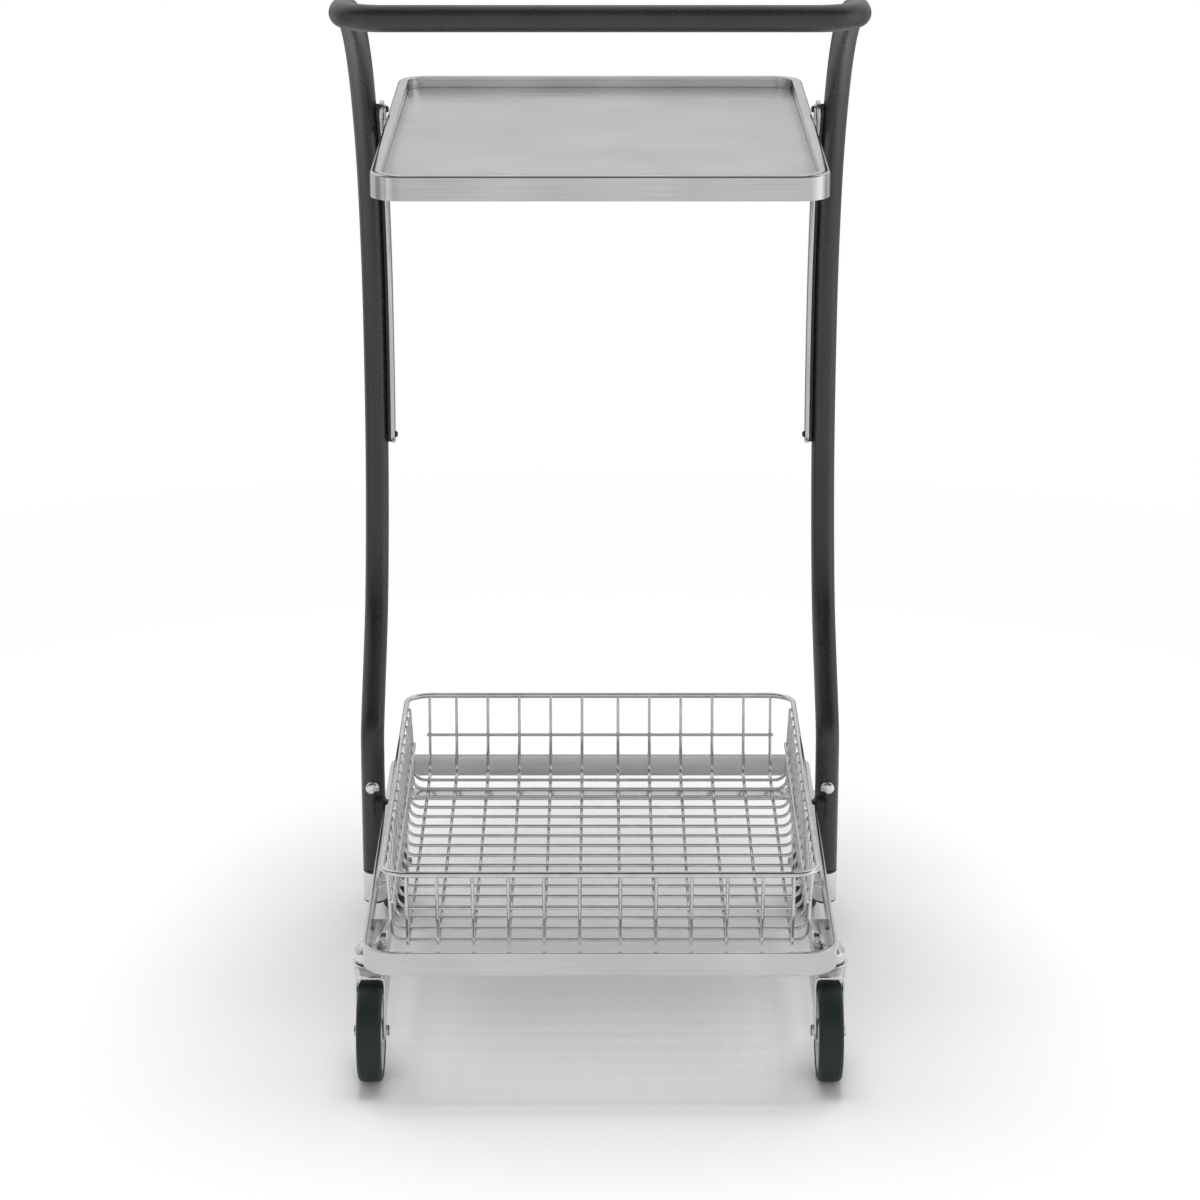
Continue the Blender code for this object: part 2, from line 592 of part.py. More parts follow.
def make_near_caster(side, sign):
    place = (sign * WHEEL_X, SWIVEL_Y, 0)
    name = "near_" + side
    ends = (SWIVEL_Y - 0.045, SWIVEL_Y + 0.045)
    make_bracket("bracket_" + name, sign, ends, NEAR_BOLT_Y, SWIVEL_Y + 0.002)
    make_plate_bolt("plate_bolt_" + name, sign, NEAR_BOLT_Y)
    make_swivel_head("swivel_head_" + name, sign, place)
    make_swivel_fork("fork_" + name, place)
    axle = (place[0], SWIVEL_Y - TRAIL, WHEEL_RADIUS)
    make_axle("axle_bolt_" + name, "axle_nut_" + name, sign, axle)
    make_wheel("wheel_" + name, "tyre_" + name, axle)


def make_far_caster(side, sign):
    place = (sign * WHEEL_X, FIXED_Y, 0)
    name = "far_" + side
    ends = (FIXED_Y - 0.045, FIXED_Y + 0.019)
    make_bracket("bracket_" + name, sign, ends, FAR_BOLT_Y, FIXED_Y + 0.001)
    make_plate_bolt("plate_bolt_" + name, sign, FAR_BOLT_Y)
    make_fixed_fork("fork_" + name, sign, place)
    axle = (place[0], FIXED_Y, WHEEL_RADIUS)
    make_axle("axle_bolt_" + name, "axle_nut_" + name, sign, axle)
    make_wheel("wheel_" + name, "tyre_" + name, axle)


# --- tray ------------------------------------------------------------------------------
def make_tray():
    """Folded sheet: outer skirt, rounded shoulder, flat rim, upright inner wall and flat floor."""
    steps = ((0.0, TRAY_SKIRT_Z), (0.0, TRAY_RIM_Z - 0.0030), (0.0010, TRAY_RIM_Z - 0.0009),
             (0.0032, TRAY_RIM_Z), (TRAY_RIM_WIDTH, TRAY_RIM_Z), (TRAY_RIM_WIDTH, TRAY_FLOOR_Z))
    bm = bmesh.new()
    loops = []
    for inset, height in steps:
        outline = rounded_rectangle(TRAY_HALF_WIDTH - inset, TRAY_NEAR_Y + inset,
                                    TRAY_FAR_Y - inset, TRAY_CORNER - inset)
        loops.append([bm.verts.new((x, y, height)) for x, y in outline])
    count = len(loops[0])
    for below, above in zip(loops, loops[1:]):
        for i in range(count):
            bm.faces.new((below[i], below[(i + 1) % count], above[(i + 1) % count], above[i]))
    bm.faces.new(loops[-1])
    tray = mesh_object("tray", bm, BRUSHED_STEEL)
    wall = tray.modifiers.new("Sheet", "SOLIDIFY")
    wall.thickness = TRAY_SHEET
    wall.offset = -1
    wall.use_even_offset = True


def make_rail(side, sign):
    """Flat bar along the inside of the upright, on a black strip, with its two screws."""
    outline = strip_along_upright(RAIL_WIDTH, *RAIL_Z)
    rail = plate("tray_rail_" + side, [outline], *side_range(RAIL_X, sign), BRUSHED_STEEL, along="X")
    strip = strip_along_upright(GASKET_WIDTH, RAIL_Z[0] + 0.002, RAIL_Z[1] - 0.002)
    gasket = plate("rail_gasket_" + side, [strip], *side_range(GASKET_X, sign), BLACK_PLASTIC, along="X")
    names = ("bottom", "top")
    for height, level in zip(RAIL_SCREW_Z, names):
        y = upright_y(height)
        for drilled in (rail, gasket):
            drill(drilled, (sign * RAIL_X[1], y, height), "X", SCREW_RADIUS + GAP, 0.020, sides=10)
        seat = RAIL_X[0] - GAP - (EAR_THICK + GAP if level == "top" else 0)
        reach = TUBE_X - TUBE_RADIUS + 0.004 - seat
        outline = [(0, 0.0030), (0.0020, 0.0028), (0.0034, 0.0016), (0.0036, 0.0),
                   (SCREW_RADIUS, 0.0), (SCREW_RADIUS, -reach), (0, -reach)]
        axis = "-X" if sign > 0 else "X"
        name = f"rail_screw_{level}_{side}"
        turned(name, outline, BLACK_PLASTIC, (sign * seat, y, height), axis, steps=10)


def side_range(values, sign):
    return values if sign > 0 else (-values[1], -values[0])


def make_tray_bracket(side, sign):
    """Angle under the tray's edge, with an ear that rises to the rail's top screw."""
    top = TRAY_SKIRT_Z - GAP
    shelf = (top - TRAY_BRACKET_THICK, top)
    outer = RAIL_X[0] - GAP
    ear_y = upright_y(RAIL_SCREW_Z[1])
    reach = TRAY_BRACKET_HALF_LENGTH
    near_y, far_y = ear_y - reach, ear_y + reach
    inner_x, outer_x = outer - 0.034, outer - 0.001
    corners = ((inner_x, near_y), (outer_x, near_y), (outer_x, far_y), (inner_x, far_y))
    outline = [(sign * x, y) for x, y in corners]
    angle = plate("tray_bracket_" + side, [outline], *shelf, BRUSHED_STEEL)
    head = arc((ear_y, RAIL_SCREW_Z[1]), 0.007, 0, 180, 8)
    low, high = top - 0.016, top - 0.001
    near_y, far_y = near_y - 0.001, far_y + 0.001
    ear = ([(near_y, low), (far_y, low), (far_y, high), (ear_y + 0.012, high)]
           + head + [(ear_y - 0.012, high), (near_y, high)])
    span = side_range((outer - EAR_THICK, outer), sign)
    boolean(angle, plate(angle.name + "_ear", [ear], *span, None, along="X"), "UNION")
    drill(angle, (sign * outer, ear_y, RAIL_SCREW_Z[1]), "X", SCREW_RADIUS + GAP, 0.012, sides=10)


# --- basket ----------------------------------------------------------------------------
def bent_wire(top_a, low_a, low_b, top_b):
    """U-shaped path, as (across, height): down one wall, along the floor, up the other."""
    floor = low_a[1]
    points = [top_a]
    for corner, sign in ((low_a, 1), (low_b, -1)):
        centre = (corner[0] + sign * WIRE_BEND, floor + WIRE_BEND)
        start, end = (180, 270) if sign > 0 else (270, 360)
        points += arc(centre, WIRE_BEND, start, end, 3)
    return points + [top_b]


def make_basket():
    """Wire basket: rim, U-shaped wires both ways and a middle wire round the walls."""
    near, far = BASKET_RIM_Y
    tuck = BASKET_RIM_RADIUS + WIRE_RADIUS - 0.0006
    rim = rounded_rectangle(BASKET_RIM_X, near, far, BASKET_RIM_CORNER, 5)
    rim = [(x, y, BASKET_RIM_Z) for x, y in rim]
    basket = tube("wire_basket", rim, BASKET_RIM_RADIUS, CHROME, 1, cyclic=True)
    wires = []
    foot_near, foot_far = BASKET_FOOT_Y
    top = BASKET_RIM_Z
    path = bent_wire((near + tuck, top), (foot_near, LOWER_WIRE_Z), (foot_far, LOWER_WIRE_Z),
                     (far - tuck, top))
    for x in FORE_AFT_WIRES_X:
        for _, sign in SIDES:
            wires.append([(sign * x, y, z) for y, z in path])
    side_top, side_low = BASKET_RIM_X - tuck, BASKET_FOOT_X
    path = bent_wire((-side_top, top), (-side_low, UPPER_WIRE_Z), (side_low, UPPER_WIRE_Z),
                     (side_top, top))
    for i in range(CROSS_WIRE_COUNT):
        y = CROSS_WIRE_FIRST_Y + i * CROSS_WIRE_PITCH
        wires.append([(x, y, z) for x, z in path])
    lean = (MIDDLE_WIRE_Z - LOWER_WIRE_Z) / (BASKET_RIM_Z - LOWER_WIRE_Z)
    inside = 2 * WIRE_RADIUS - 0.0006
    end_x = FORE_AFT_WIRES_X[-1] + 0.003
    for foot, rim_y, sign in ((foot_near, near + tuck, 1), (foot_far, far - tuck, -1)):
        y = foot + (rim_y - foot) * lean + sign * inside
        wires.append([(-end_x, y, MIDDLE_WIRE_Z), (end_x, y, MIDDLE_WIRE_Z)])
    first_y = CROSS_WIRE_FIRST_Y - 0.003
    last_y = CROSS_WIRE_FIRST_Y + (CROSS_WIRE_COUNT - 1) * CROSS_WIRE_PITCH + 0.003
    x = side_low + (side_top - side_low) * lean - inside
    for _, sign in SIDES:
        wires.append([(sign * x, first_y, MIDDLE_WIRE_Z), (sign * x, last_y, MIDDLE_WIRE_Z)])
    for i, points in enumerate(wires):
        wire = tube(f"basket_wire_{i}", points, WIRE_RADIUS, None, sides=0)
        PARTS.objects.unlink(wire)
        WIRES.objects.link(wire)
        wire.hide_render = True
        wire.display_type = "WIRE"
    join = basket.modifiers.new("Weld wires", "BOOLEAN")
    join.operation = "UNION"
    join.operand_type = "COLLECTION"
    join.collection = WIRES
    join.solver = "EXACT"
    join.use_self = True


def main():
    make_hoop()
    make_cross_bar()
    make_push_frame()
    for side, sign in SIDES:
        make_foot(side, sign)
        make_dome_bolt(side, sign)
        make_side_bolt(side, sign)
        make_saddle(side, sign)
        make_peg(side, sign)
        make_rail(side, sign)
        make_tray_bracket(side, sign)
        make_near_caster(side, sign)
        make_far_caster(side, sign)
    make_tray()
    make_basket()


main()
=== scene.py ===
"""Looks of the luggage trolley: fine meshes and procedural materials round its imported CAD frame.

Metres, +Z up, in the frame's own coordinates. X runs across, the user stands at -Y.
"""

import json
import math

import bmesh
import bpy
from mathutils import Matrix, Vector


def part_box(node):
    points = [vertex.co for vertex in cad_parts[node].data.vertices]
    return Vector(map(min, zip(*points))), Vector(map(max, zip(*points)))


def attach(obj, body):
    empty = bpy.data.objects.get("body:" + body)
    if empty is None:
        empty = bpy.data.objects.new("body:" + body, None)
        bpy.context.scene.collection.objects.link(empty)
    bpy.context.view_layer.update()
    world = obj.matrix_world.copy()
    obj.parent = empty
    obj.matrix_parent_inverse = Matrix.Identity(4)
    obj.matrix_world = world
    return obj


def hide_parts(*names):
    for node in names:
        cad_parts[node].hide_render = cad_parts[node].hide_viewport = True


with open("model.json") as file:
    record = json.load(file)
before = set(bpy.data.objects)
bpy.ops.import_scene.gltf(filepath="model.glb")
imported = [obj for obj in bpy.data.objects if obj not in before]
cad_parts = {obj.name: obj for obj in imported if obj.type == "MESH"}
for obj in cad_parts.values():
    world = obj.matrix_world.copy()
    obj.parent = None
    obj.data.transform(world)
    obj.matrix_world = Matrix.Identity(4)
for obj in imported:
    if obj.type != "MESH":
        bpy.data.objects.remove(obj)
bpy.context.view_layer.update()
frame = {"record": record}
SCENE = bpy.context.scene

RECORD = frame["record"]
JOINTS = {joint["name"]: joint["pos_m"] for joint in RECORD["behaviour"]["joints"]}
MOUNTS = {mount["name"]: mount["pos_m"] for mount in RECORD["mounts"]}


def span(node_name, axis, digits=4):
    """Lowest and highest coordinate of a CAD node, to a tenth of a millimetre or finer."""
    return tuple(round(corner["XYZ".index(axis)], digits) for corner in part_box(node_name))


def centre_of(node_name, axis):
    return sum(span(node_name, axis)) / 2


def half_of(node_name, axis):
    low, high = span(node_name, axis)
    return (high - low) / 2


# --- sizes and places: from the frame, or drawn on from it ---
GAP = 0.0003
SIDES = (("left", -1), ("right", 1))

WHEEL_X, SWIVEL_Y, _ = JOINTS["near_right_swivel"]
_, NEAR_AXLE_Y, WHEEL_RADIUS = JOINTS["near_right_roll"]
TRAIL = SWIVEL_Y - NEAR_AXLE_Y
FIXED_Y = JOINTS["far_right_roll"][1]
WHEEL_HALF = half_of("tyre_near_right", "X")
RIM_RADIUS = half_of("wheel_near_right", "Z")

HOOP_HALF_WIDTH = half_of("chassis_hoop", "X")
HOOP_Y = span("chassis_hoop", "Y")
HOOP_Z = span("chassis_hoop", "Z")
HOOP_CORNER = 0.032
HOOP_THICK = 0.0042
HOOP_INNER_X = HOOP_HALF_WIDTH - HOOP_THICK
CHASSIS_Y = sum(HOOP_Y) / 2

TUBE_RADIUS = half_of("foot_stub_right", "X")
TUBE_X = centre_of("foot_stub_right", "X")
TUBE_FOOT_Y = centre_of("foot_stub_right", "Y")
TUBE_END_Z = span("push_frame", "Z")[0]
STUB_LOW_Z = span("foot_stub_right", "Z")[0]
HANDLE_Y = span("push_frame", "Y")[0] + TUBE_RADIUS
HANDLE_Z = span("push_frame", "Z")[1] - TUBE_RADIUS
HANDLE_CORNER = 0.04
# The tube's centre line in side view: Y from the middle of the chassis, and height.
UPRIGHT_PROFILE = (
    (0.1446, 0.1), (0.1446, 0.165), (0.145, 0.2), (0.152, 0.23), (0.1868, 0.265),
    (0.2266, 0.301), (0.2609, 0.3395), (0.289, 0.395), (0.309, 0.458),
    (0.3185, 0.517), (0.3213, 0.585), (0.3162, 0.665), (0.301, 0.732),
    (0.272, 0.806), (0.226, 0.873), (0.167, 0.932), (0.095, 0.978),
    (0.015, 1.008), (-0.045, 1.02), (HANDLE_Y - CHASSIS_Y + HANDLE_CORNER, HANDLE_Z),
)

TRAY_HALF_WIDTH = half_of("tray", "X")
TRAY_Y = span("tray", "Y")
TRAY_SKIRT_Z, TRAY_RIM_Z = span("tray", "Z")
TRAY_FLOOR_Z = MOUNTS["tray_floor"][2]
TRAY_CORNER = 0.031
TRAY_RIM_WIDTH = 0.0105

BASKET_Y = span("wire_basket", "Y")
BASKET_RIM_RADIUS = 0.003
BASKET_RIM_X = half_of("wire_basket", "X") - BASKET_RIM_RADIUS
BASKET_RIM_Z = HOOP_Z[1] + 0.0766
BASKET_RIM_CORNER = 0.025
BASKET_FOOT_X = BASKET_RIM_X - 0.0078
BASKET_FOOT_Y = (BASKET_Y[0] + 0.025, BASKET_Y[1] - 0.02)

CROSS_BAR_Y = span("far_cross_bar", "Y")
SUPPORT_Z = span("far_cross_bar", "Z", 5)[1]
WIRE_RADIUS = 0.00175
WIRE_BEND = 0.012
LOWER_WIRE_Z = SUPPORT_Z + GAP + WIRE_RADIUS
UPPER_WIRE_Z = LOWER_WIRE_Z + 2 * WIRE_RADIUS - 0.0004
MIDDLE_WIRE_Z = HOOP_Z[1] + 0.036
FORE_AFT_WIRES_X = (0.0195, 0.0535, 0.0875, 0.1215, 0.1555, 0.1845)
CROSS_WIRE_FIRST_Y = CHASSIS_Y - 0.231
CROSS_WIRE_PITCH = 0.0273
CROSS_WIRE_COUNT = 17
PEG_Y = centre_of("basket_peg_right", "Y")
PEG_RADIUS = 0.003

RAIL_X = span("tray_rail_right", "X")
RAIL_WIDTH = 0.022
RAIL_SCREW_Z = (centre_of("rail_screw_bottom_right", "Z"), centre_of("rail_screw_top_right", "Z"))
RAIL_Z = (RAIL_SCREW_Z[0] - 0.0096, RAIL_SCREW_Z[1] + 0.0065)
GASKET_WIDTH = 0.009
EAR_THICK = 0.002

PLATE_X = span("bracket_near_right", "X")
BRACKET_Z = span("bracket_near_right", "Z")
TOP_PLATE_TOP = span("swivel_head_near_right", "Z")[1]
TOP_PLATE_Z = (TOP_PLATE_TOP - 0.0024, TOP_PLATE_TOP)
PLATE_BOLT_X = centre_of("plate_bolt_near_right", "X")
NEAR_BOLT_Y = centre_of("plate_bolt_near_right", "Y")
FAR_BOLT_Y = centre_of("plate_bolt_far_right", "Y")
BOLT_HOLE_RADIUS = 0.0033
DOME_BOLT_Z = centre_of("dome_bolt_right", "Z")
SIDE_BOLT_Z = centre_of("side_bolt_right", "Z")

LEG_GAP = WHEEL_HALF + GAP
LEG_THICK = 0.0022
CROWN_TOP = span("fork_near_right", "Z")[1]
CROWN_Z = (CROWN_TOP - 0.0025, CROWN_TOP)
CROWN_HALF_WIDTH = half_of("fork_near_right", "X")
EYE_RADIUS = 0.009


# --- materials ---
def new_material(name):
    made = bpy.data.materials.new(name)
    made.use_nodes = True
    return made.node_tree, made.node_tree.nodes["Principled BSDF"], made


def node(tree, kind, inputs=(), **settings):
    """Add a node: inputs are (socket name or number, value or output socket) pairs."""
    made = tree.nodes.new(kind)
    for key, value in settings.items():
        setattr(made, key, value)
    for key, value in dict(inputs).items():
        if isinstance(value, bpy.types.NodeSocket):
            tree.links.new(value, made.inputs[key])
        else:
            made.inputs[key].default_value = value
    return made


def maths(tree, operation, *values):
    return node(tree, "ShaderNodeMath", dict(enumerate(values)), operation=operation).outputs[0]


def stretched_noise(tree, scale, detail=3.0, rough=0.6, lift=0.0):
    """Noise in object coordinates with its own scale along each axis."""
    place = node(tree, "ShaderNodeTexCoord").outputs["Object"]
    scaled = node(tree, "ShaderNodeMapping", {0: place, "Scale": scale, "Location": (lift,) * 3})
    inputs = {"Vector": scaled.outputs[0], "Scale": 1.0, "Detail": detail, "Roughness": rough}
    return node(tree, "ShaderNodeTexNoise", inputs).outputs["Fac"]


def spread(tree, value, low, high, start=0.3, end=0.7):
    """Map a noise value to a range."""
    inputs = {"Value": value, "From Min": start, "From Max": end, "To Min": low, "To Max": high}
    return node(tree, "ShaderNodeMapRange", inputs).outputs[0]


def shade(tree, value, dark, light):
    """Mix two colours by a value from 0 to 1."""
    inputs = {"Factor": value, 6: (*dark, 1.0), 7: (*light, 1.0)}
    return node(tree, "ShaderNodeMix", inputs, data_type="RGBA").outputs[2]


def relief(tree, shader, value, strength, distance, below=None):
    inputs = {"Height": value, "Strength": strength, "Distance": distance}
    if below:
        inputs["Normal"] = below
    made = node(tree, "ShaderNodeBump", inputs).outputs[0]
    tree.links.new(made, shader.inputs["Normal"])
    return made


def link(tree, shader, **values):
    for key, value in values.items():
        tree.links.new(value, shader.inputs[key.replace("_", " ")])


def brushed(name, grain, dark, light, roughness=(0.14, 0.24), relief_strength=0.25):
    """Brushed stainless steel. The grain is a scale for each axis: low along the strokes."""
    tree, shader, made = new_material(name)
    strokes = stretched_noise(tree, grain, 4.0, 0.65)
    clouds = stretched_noise(tree, (9.0, 9.0, 9.0), 2.0, 0.5, lift=3.1)
    mixed = maths(tree, "ADD", strokes, clouds)
    link(tree, shader, Base_Color=shade(tree, spread(tree, mixed, 0, 1, 0.75, 1.25), dark, light),
         Roughness=spread(tree, strokes, *roughness))
    relief(tree, shader, strokes, relief_strength, 0.00006)
    shader.inputs["Metallic"].default_value = 1.0
    return made


def plated(name, dark, light, roughness, cloud_scale, pitting=0.1):
    """Zinc or chrome plate: cloudy tone, and a fine unevenness in its gloss."""
    tree, shader, made = new_material(name)
    clouds = stretched_noise(tree, (cloud_scale,) * 3, 3.0, 0.55)
    fine = stretched_noise(tree, (1900.0,) * 3, 2.0, 0.6, lift=1.7)
    link(tree, shader, Base_Color=shade(tree, spread(tree, clouds, 0, 1), dark, light),
         Roughness=spread(tree, clouds, *roughness))
    relief(tree, shader, fine, pitting, 0.00004)
    shader.inputs["Metallic"].default_value = 1.0
    return made


def powder_coat():
    """Anthracite powder coat with the fine orange-peel grain of a textured finish."""
    tree, shader, made = new_material("powder_coat")
    grain = stretched_noise(tree, (620.0,) * 3, 2.5, 0.55)
    cells = node(tree, "ShaderNodeTexVoronoi", {
        "Vector": node(tree, "ShaderNodeTexCoord").outputs["Object"], "Scale": 900.0})
    clouds = stretched_noise(tree, (14.0,) * 3, 2.0, 0.5, lift=5.0)
    tone = shade(tree, spread(tree, clouds, 0, 1), (0.009, 0.009, 0.011), (0.014, 0.014, 0.017))
    link(tree, shader, Base_Color=tone, Roughness=spread(tree, grain, 0.24, 0.4))
    low = relief(tree, shader, cells.outputs["Distance"], 0.2, 0.0002)
    relief(tree, shader, grain, 0.6, 0.00045, low)
    shader.inputs["Specular IOR Level"].default_value = 0.62
    return made


def moulded(name, dark, light, roughness, grain_scale, strength=0.2):
    """Moulded plastic or rubber: matt grain and a faint mottling."""
    tree, shader, made = new_material(name)
    grain = stretched_noise(tree, (grain_scale,) * 3, 2.0, 0.5)
    mottle = stretched_noise(tree, (45.0,) * 3, 3.0, 0.6, lift=2.3)
    link(tree, shader, Base_Color=shade(tree, spread(tree, mottle, 0, 1), dark, light),
         Roughness=spread(tree, mottle, *roughness))
    relief(tree, shader, grain, strength, 0.0001)
    return made


STEEL_DARK, STEEL_LIGHT = (0.46, 0.46, 0.465), (0.56, 0.56, 0.565)
COAT = powder_coat()
BAND_STEEL = brushed("band_steel", (9.0, 9.0, 900.0), STEEL_DARK, STEEL_LIGHT, (0.09, 0.16))
FLOOR_STEEL = brushed("floor_steel", (9.0, 700.0, 9.0), STEEL_DARK, STEEL_LIGHT, (0.2, 0.28), 0.12)
RAIL_STEEL = brushed("rail_steel", (900.0, 900.0, 12.0), STEEL_DARK, STEEL_LIGHT)
BAR_STEEL = brushed("bar_steel", (12.0, 900.0, 900.0), STEEL_DARK, STEEL_LIGHT)
WIRE_CHROME = plated("wire_chrome", (0.5, 0.5, 0.505), (0.62, 0.62, 0.62), (0.05, 0.1), 60.0)
ZINC = plated("zinc", (0.56, 0.57, 0.585), (0.68, 0.685, 0.69), (0.18, 0.32), 110.0, 0.15)
BRIGHT_ZINC = plated("bright_zinc", (0.6, 0.6, 0.605), (0.7, 0.7, 0.7), (0.1, 0.18), 50.0)
PLATE_STEEL = brushed("plate_steel", (900.0, 14.0, 900.0), (0.6, 0.6, 0.59), (0.7, 0.7, 0.69))
WELD = plated("weld_metal", (0.3, 0.29, 0.28), (0.46, 0.45, 0.43), (0.34, 0.5), 700.0, 0.6)
BLACK = moulded("black_plastic", (0.011, 0.011, 0.012), (0.019, 0.019, 0.02), (0.42, 0.55), 1500.0)
RUBBER = moulded("tyre_rubber", (0.008, 0.017, 0.0165), (0.011, 0.022, 0.021), (0.46, 0.6), 1100.0)
RUBBER.node_tree.nodes["Principled BSDF"].inputs["Specular IOR Level"].default_value = 0.32
CORE = moulded("wheel_core", (0.5, 0.51, 0.52), (0.58, 0.585, 0.59), (0.34, 0.46), 1300.0, 0.12)
NYLON = moulded("nut_insert", (0.03, 0.03, 0.032), (0.05, 0.05, 0.052), (0.4, 0.5), 900.0)


# --- mesh helpers ---
def new_piece(name, bm, material, body="chassis", stands_for=(), sharp=40):
    """Turn a bmesh into a piece of the trolley that moves with one CAD body."""
    bmesh.ops.recalc_face_normals(bm, faces=bm.faces)
    data = bpy.data.meshes.new(name)
    bm.to_mesh(data)
    bm.free()
    data.shade_smooth()
    data.set_sharp_from_angle(angle=math.radians(sharp))
    data.materials.append(material)
    obj = bpy.data.objects.new(name, data)
    SCENE.collection.objects.link(obj)
    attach(obj, body)
    if stands_for:
        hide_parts(*stands_for)
    return obj


def join(*parts):
    """Several bmeshes as one."""
    whole = bmesh.new()
    for part in parts:
        data = bpy.data.meshes.new("part")
        part.to_mesh(data)
        part.free()
        whole.from_mesh(data)
        bpy.data.meshes.remove(data)
    return whole


def moved(bm, matrix):
    bm.transform(matrix)
    return bm


def turn_to(axis):
    """Rotation that takes +Z to the named axis."""
    turns = {"Z": (0, "X"), "-Z": (180, "X"), "X": (90, "Y"), "-X": (-90, "Y"),
             "-Y": (90, "X"), "Y": (-90, "X")}
    angle, about = turns[axis]
    return Matrix.Rotation(math.radians(angle), 4, about)


def rounded(points, radius, closed=False, steps=3):
    """Replace each corner of a line of 2-D points by a small curve."""
    found = []
    count = len(points)
    for i, here in enumerate(points):
        here = Vector(here)
        if not closed and i in (0, count - 1):
            found.append(tuple(here))
            continue
        before, after = Vector(points[i - 1]), Vector(points[(i + 1) % count])
        cut = min(radius, 0.45 * (before - here).length, 0.45 * (after - here).length)
        start = here + (before - here).normalized() * cut
        end = here + (after - here).normalized() * cut
        for k in range(steps + 1):
            t = k / steps
            found.append(tuple(start * (1 - t) ** 2 + here * 2 * t * (1 - t) + end * t * t))
    return found


def skin(rows, closed_rows, closed_columns, cap_first=False, cap_last=False):
    """Faces between rows of points."""
    bm = bmesh.new()
    verts = [[bm.verts.new(p) for p in row] for row in rows]
    count, width = len(rows), len(rows[0])
    for i in range(count if closed_rows else count - 1):
        below, above = verts[i], verts[(i + 1) % count]
        for k in range(width if closed_columns else width - 1):
            n = (k + 1) % width
            bm.faces.new((below[k], below[n], above[n], above[k]))
    if cap_first:
        bm.faces.new(verts[0][::-1])
    if cap_last:
        bm.faces.new(verts[-1])
    return bm


def lathe(profile, place=(0, 0, 0), axis="Z", closed=False, soft=0.0005, steps=48):
    """Turned shape from (radius, height) points; a radius of 0 closes it on its axis."""
    line = rounded(profile, soft, closed)
    rows = []
    for i in range(steps):
        angle = 2 * math.pi * i / steps
        rows.append([(r * math.cos(angle), r * math.sin(angle), z) for r, z in line])
    bm = skin(rows, True, closed)
    bmesh.ops.remove_doubles(bm, verts=bm.verts, dist=1e-6)
    return moved(bm, Matrix.Translation(place) @ turn_to(axis))


def ring(inner, outer, low, high, place, axis="Z"):
    """Washer or flat ring between two radii and two heights."""
    profile = [(inner, low), (outer, low), (outer, high), (inner, high)]
    return lathe(profile, place, axis, closed=True, soft=0.0002)


def sweep(path, radius, sides=12, closed=False):
    """Round bar along a path. The radius is one number or one for each point."""
    points = [Vector(p) for p in path]
    count = len(points)
    radii = radius if isinstance(radius, (list, tuple)) else [radius] * count
    across = None
    rows = []
    for i, here in enumerate(points):
        before = points[i - 1] if closed or i else here
        after = points[(i + 1) % count] if closed or i < count - 1 else here
        along = (after - before).normalized()
        if across is None:
            across = along.orthogonal().normalized()
        across = (across - along * across.dot(along)).normalized()
        other = along.cross(across)
        row = []
        for k in range(sides):
            angle = 2 * math.pi * k / sides
            row.append(here + (across * math.cos(angle) + other * math.sin(angle)) * radii[i])
        rows.append(row)
    return skin(rows, closed, True, not closed, not closed)


def arc(centre, radius, start, end, steps):
    """Points of an arc, angles in degrees, both ends included."""
    angles = [math.radians(start + (end - start) * i / steps) for i in range(steps + 1)]
    return [(centre[0] + radius * math.cos(a), centre[1] + radius * math.sin(a)) for a in angles]


def circle(centre, radius):
    return arc(centre, radius, 0, 345, 23)


def rounded_rectangle(half_x, low_y, high_y, radius, steps=12):
    x, low, high = half_x - radius, low_y + radius, high_y - radius
    return (arc((x, low), radius, -90, 0, steps) + arc((x, high), radius, 0, 90, steps)
            + arc((-x, high), radius, 90, 180, steps) + arc((-x, low), radius, 180, 270, steps))


def hoop(half_x, ends, corner, section, closed=True):
    """A section of (inset, height) points carried round a rounded rectangle."""
    rows = []
    for inset, z in section:
        line = rounded_rectangle(half_x - inset, ends[0] + inset, ends[1] - inset, corner - inset)
        rows.append([(x, y, z) for x, y in line])
    return skin(rows, closed, True)


def evaluated_mesh(obj):
    bpy.context.view_layer.update()
    return bpy.data.meshes.new_from_object(
        obj.evaluated_get(bpy.context.evaluated_depsgraph_get()))


def plate(outlines, low, high, edge=0.0005, along="Z"):
    """Flat shape with holes, as a bmesh, with rounded edges. Along X the outline is (Y, Z)."""
    curve = bpy.data.curves.new("plate", "CURVE")
    curve.dimensions = "2D"
    curve.fill_mode = "BOTH"
    curve.extrude = (high - low) / 2 - edge
    curve.bevel_depth = edge
    curve.bevel_resolution = 2
    curve.offset = -edge
    for outline in outlines:
        spline = curve.splines.new("POLY")
        spline.points.add(len(outline) - 1)
        for point, (u, v) in zip(spline.points, outline):
            point.co = (u, v, 0.0, 1.0)
        spline.use_cyclic_u = True
    obj = bpy.data.objects.new("plate", curve)
    SCENE.collection.objects.link(obj)
    data = evaluated_mesh(obj)
    bm = bmesh.new()
    bm.from_mesh(data)
    bpy.data.objects.remove(obj)
    bpy.data.meshes.remove(data)
    bpy.data.curves.remove(curve)
    bmesh.ops.remove_doubles(bm, verts=bm.verts, dist=1e-6)
    middle = (low + high) / 2
    if along == "Z":
        return moved(bm, Matrix.Translation((0, 0, middle)))
    return moved(bm, Matrix(((0, 0, 1, middle), (1, 0, 0, 0), (0, 1, 0, 0), (0, 0, 0, 1))))


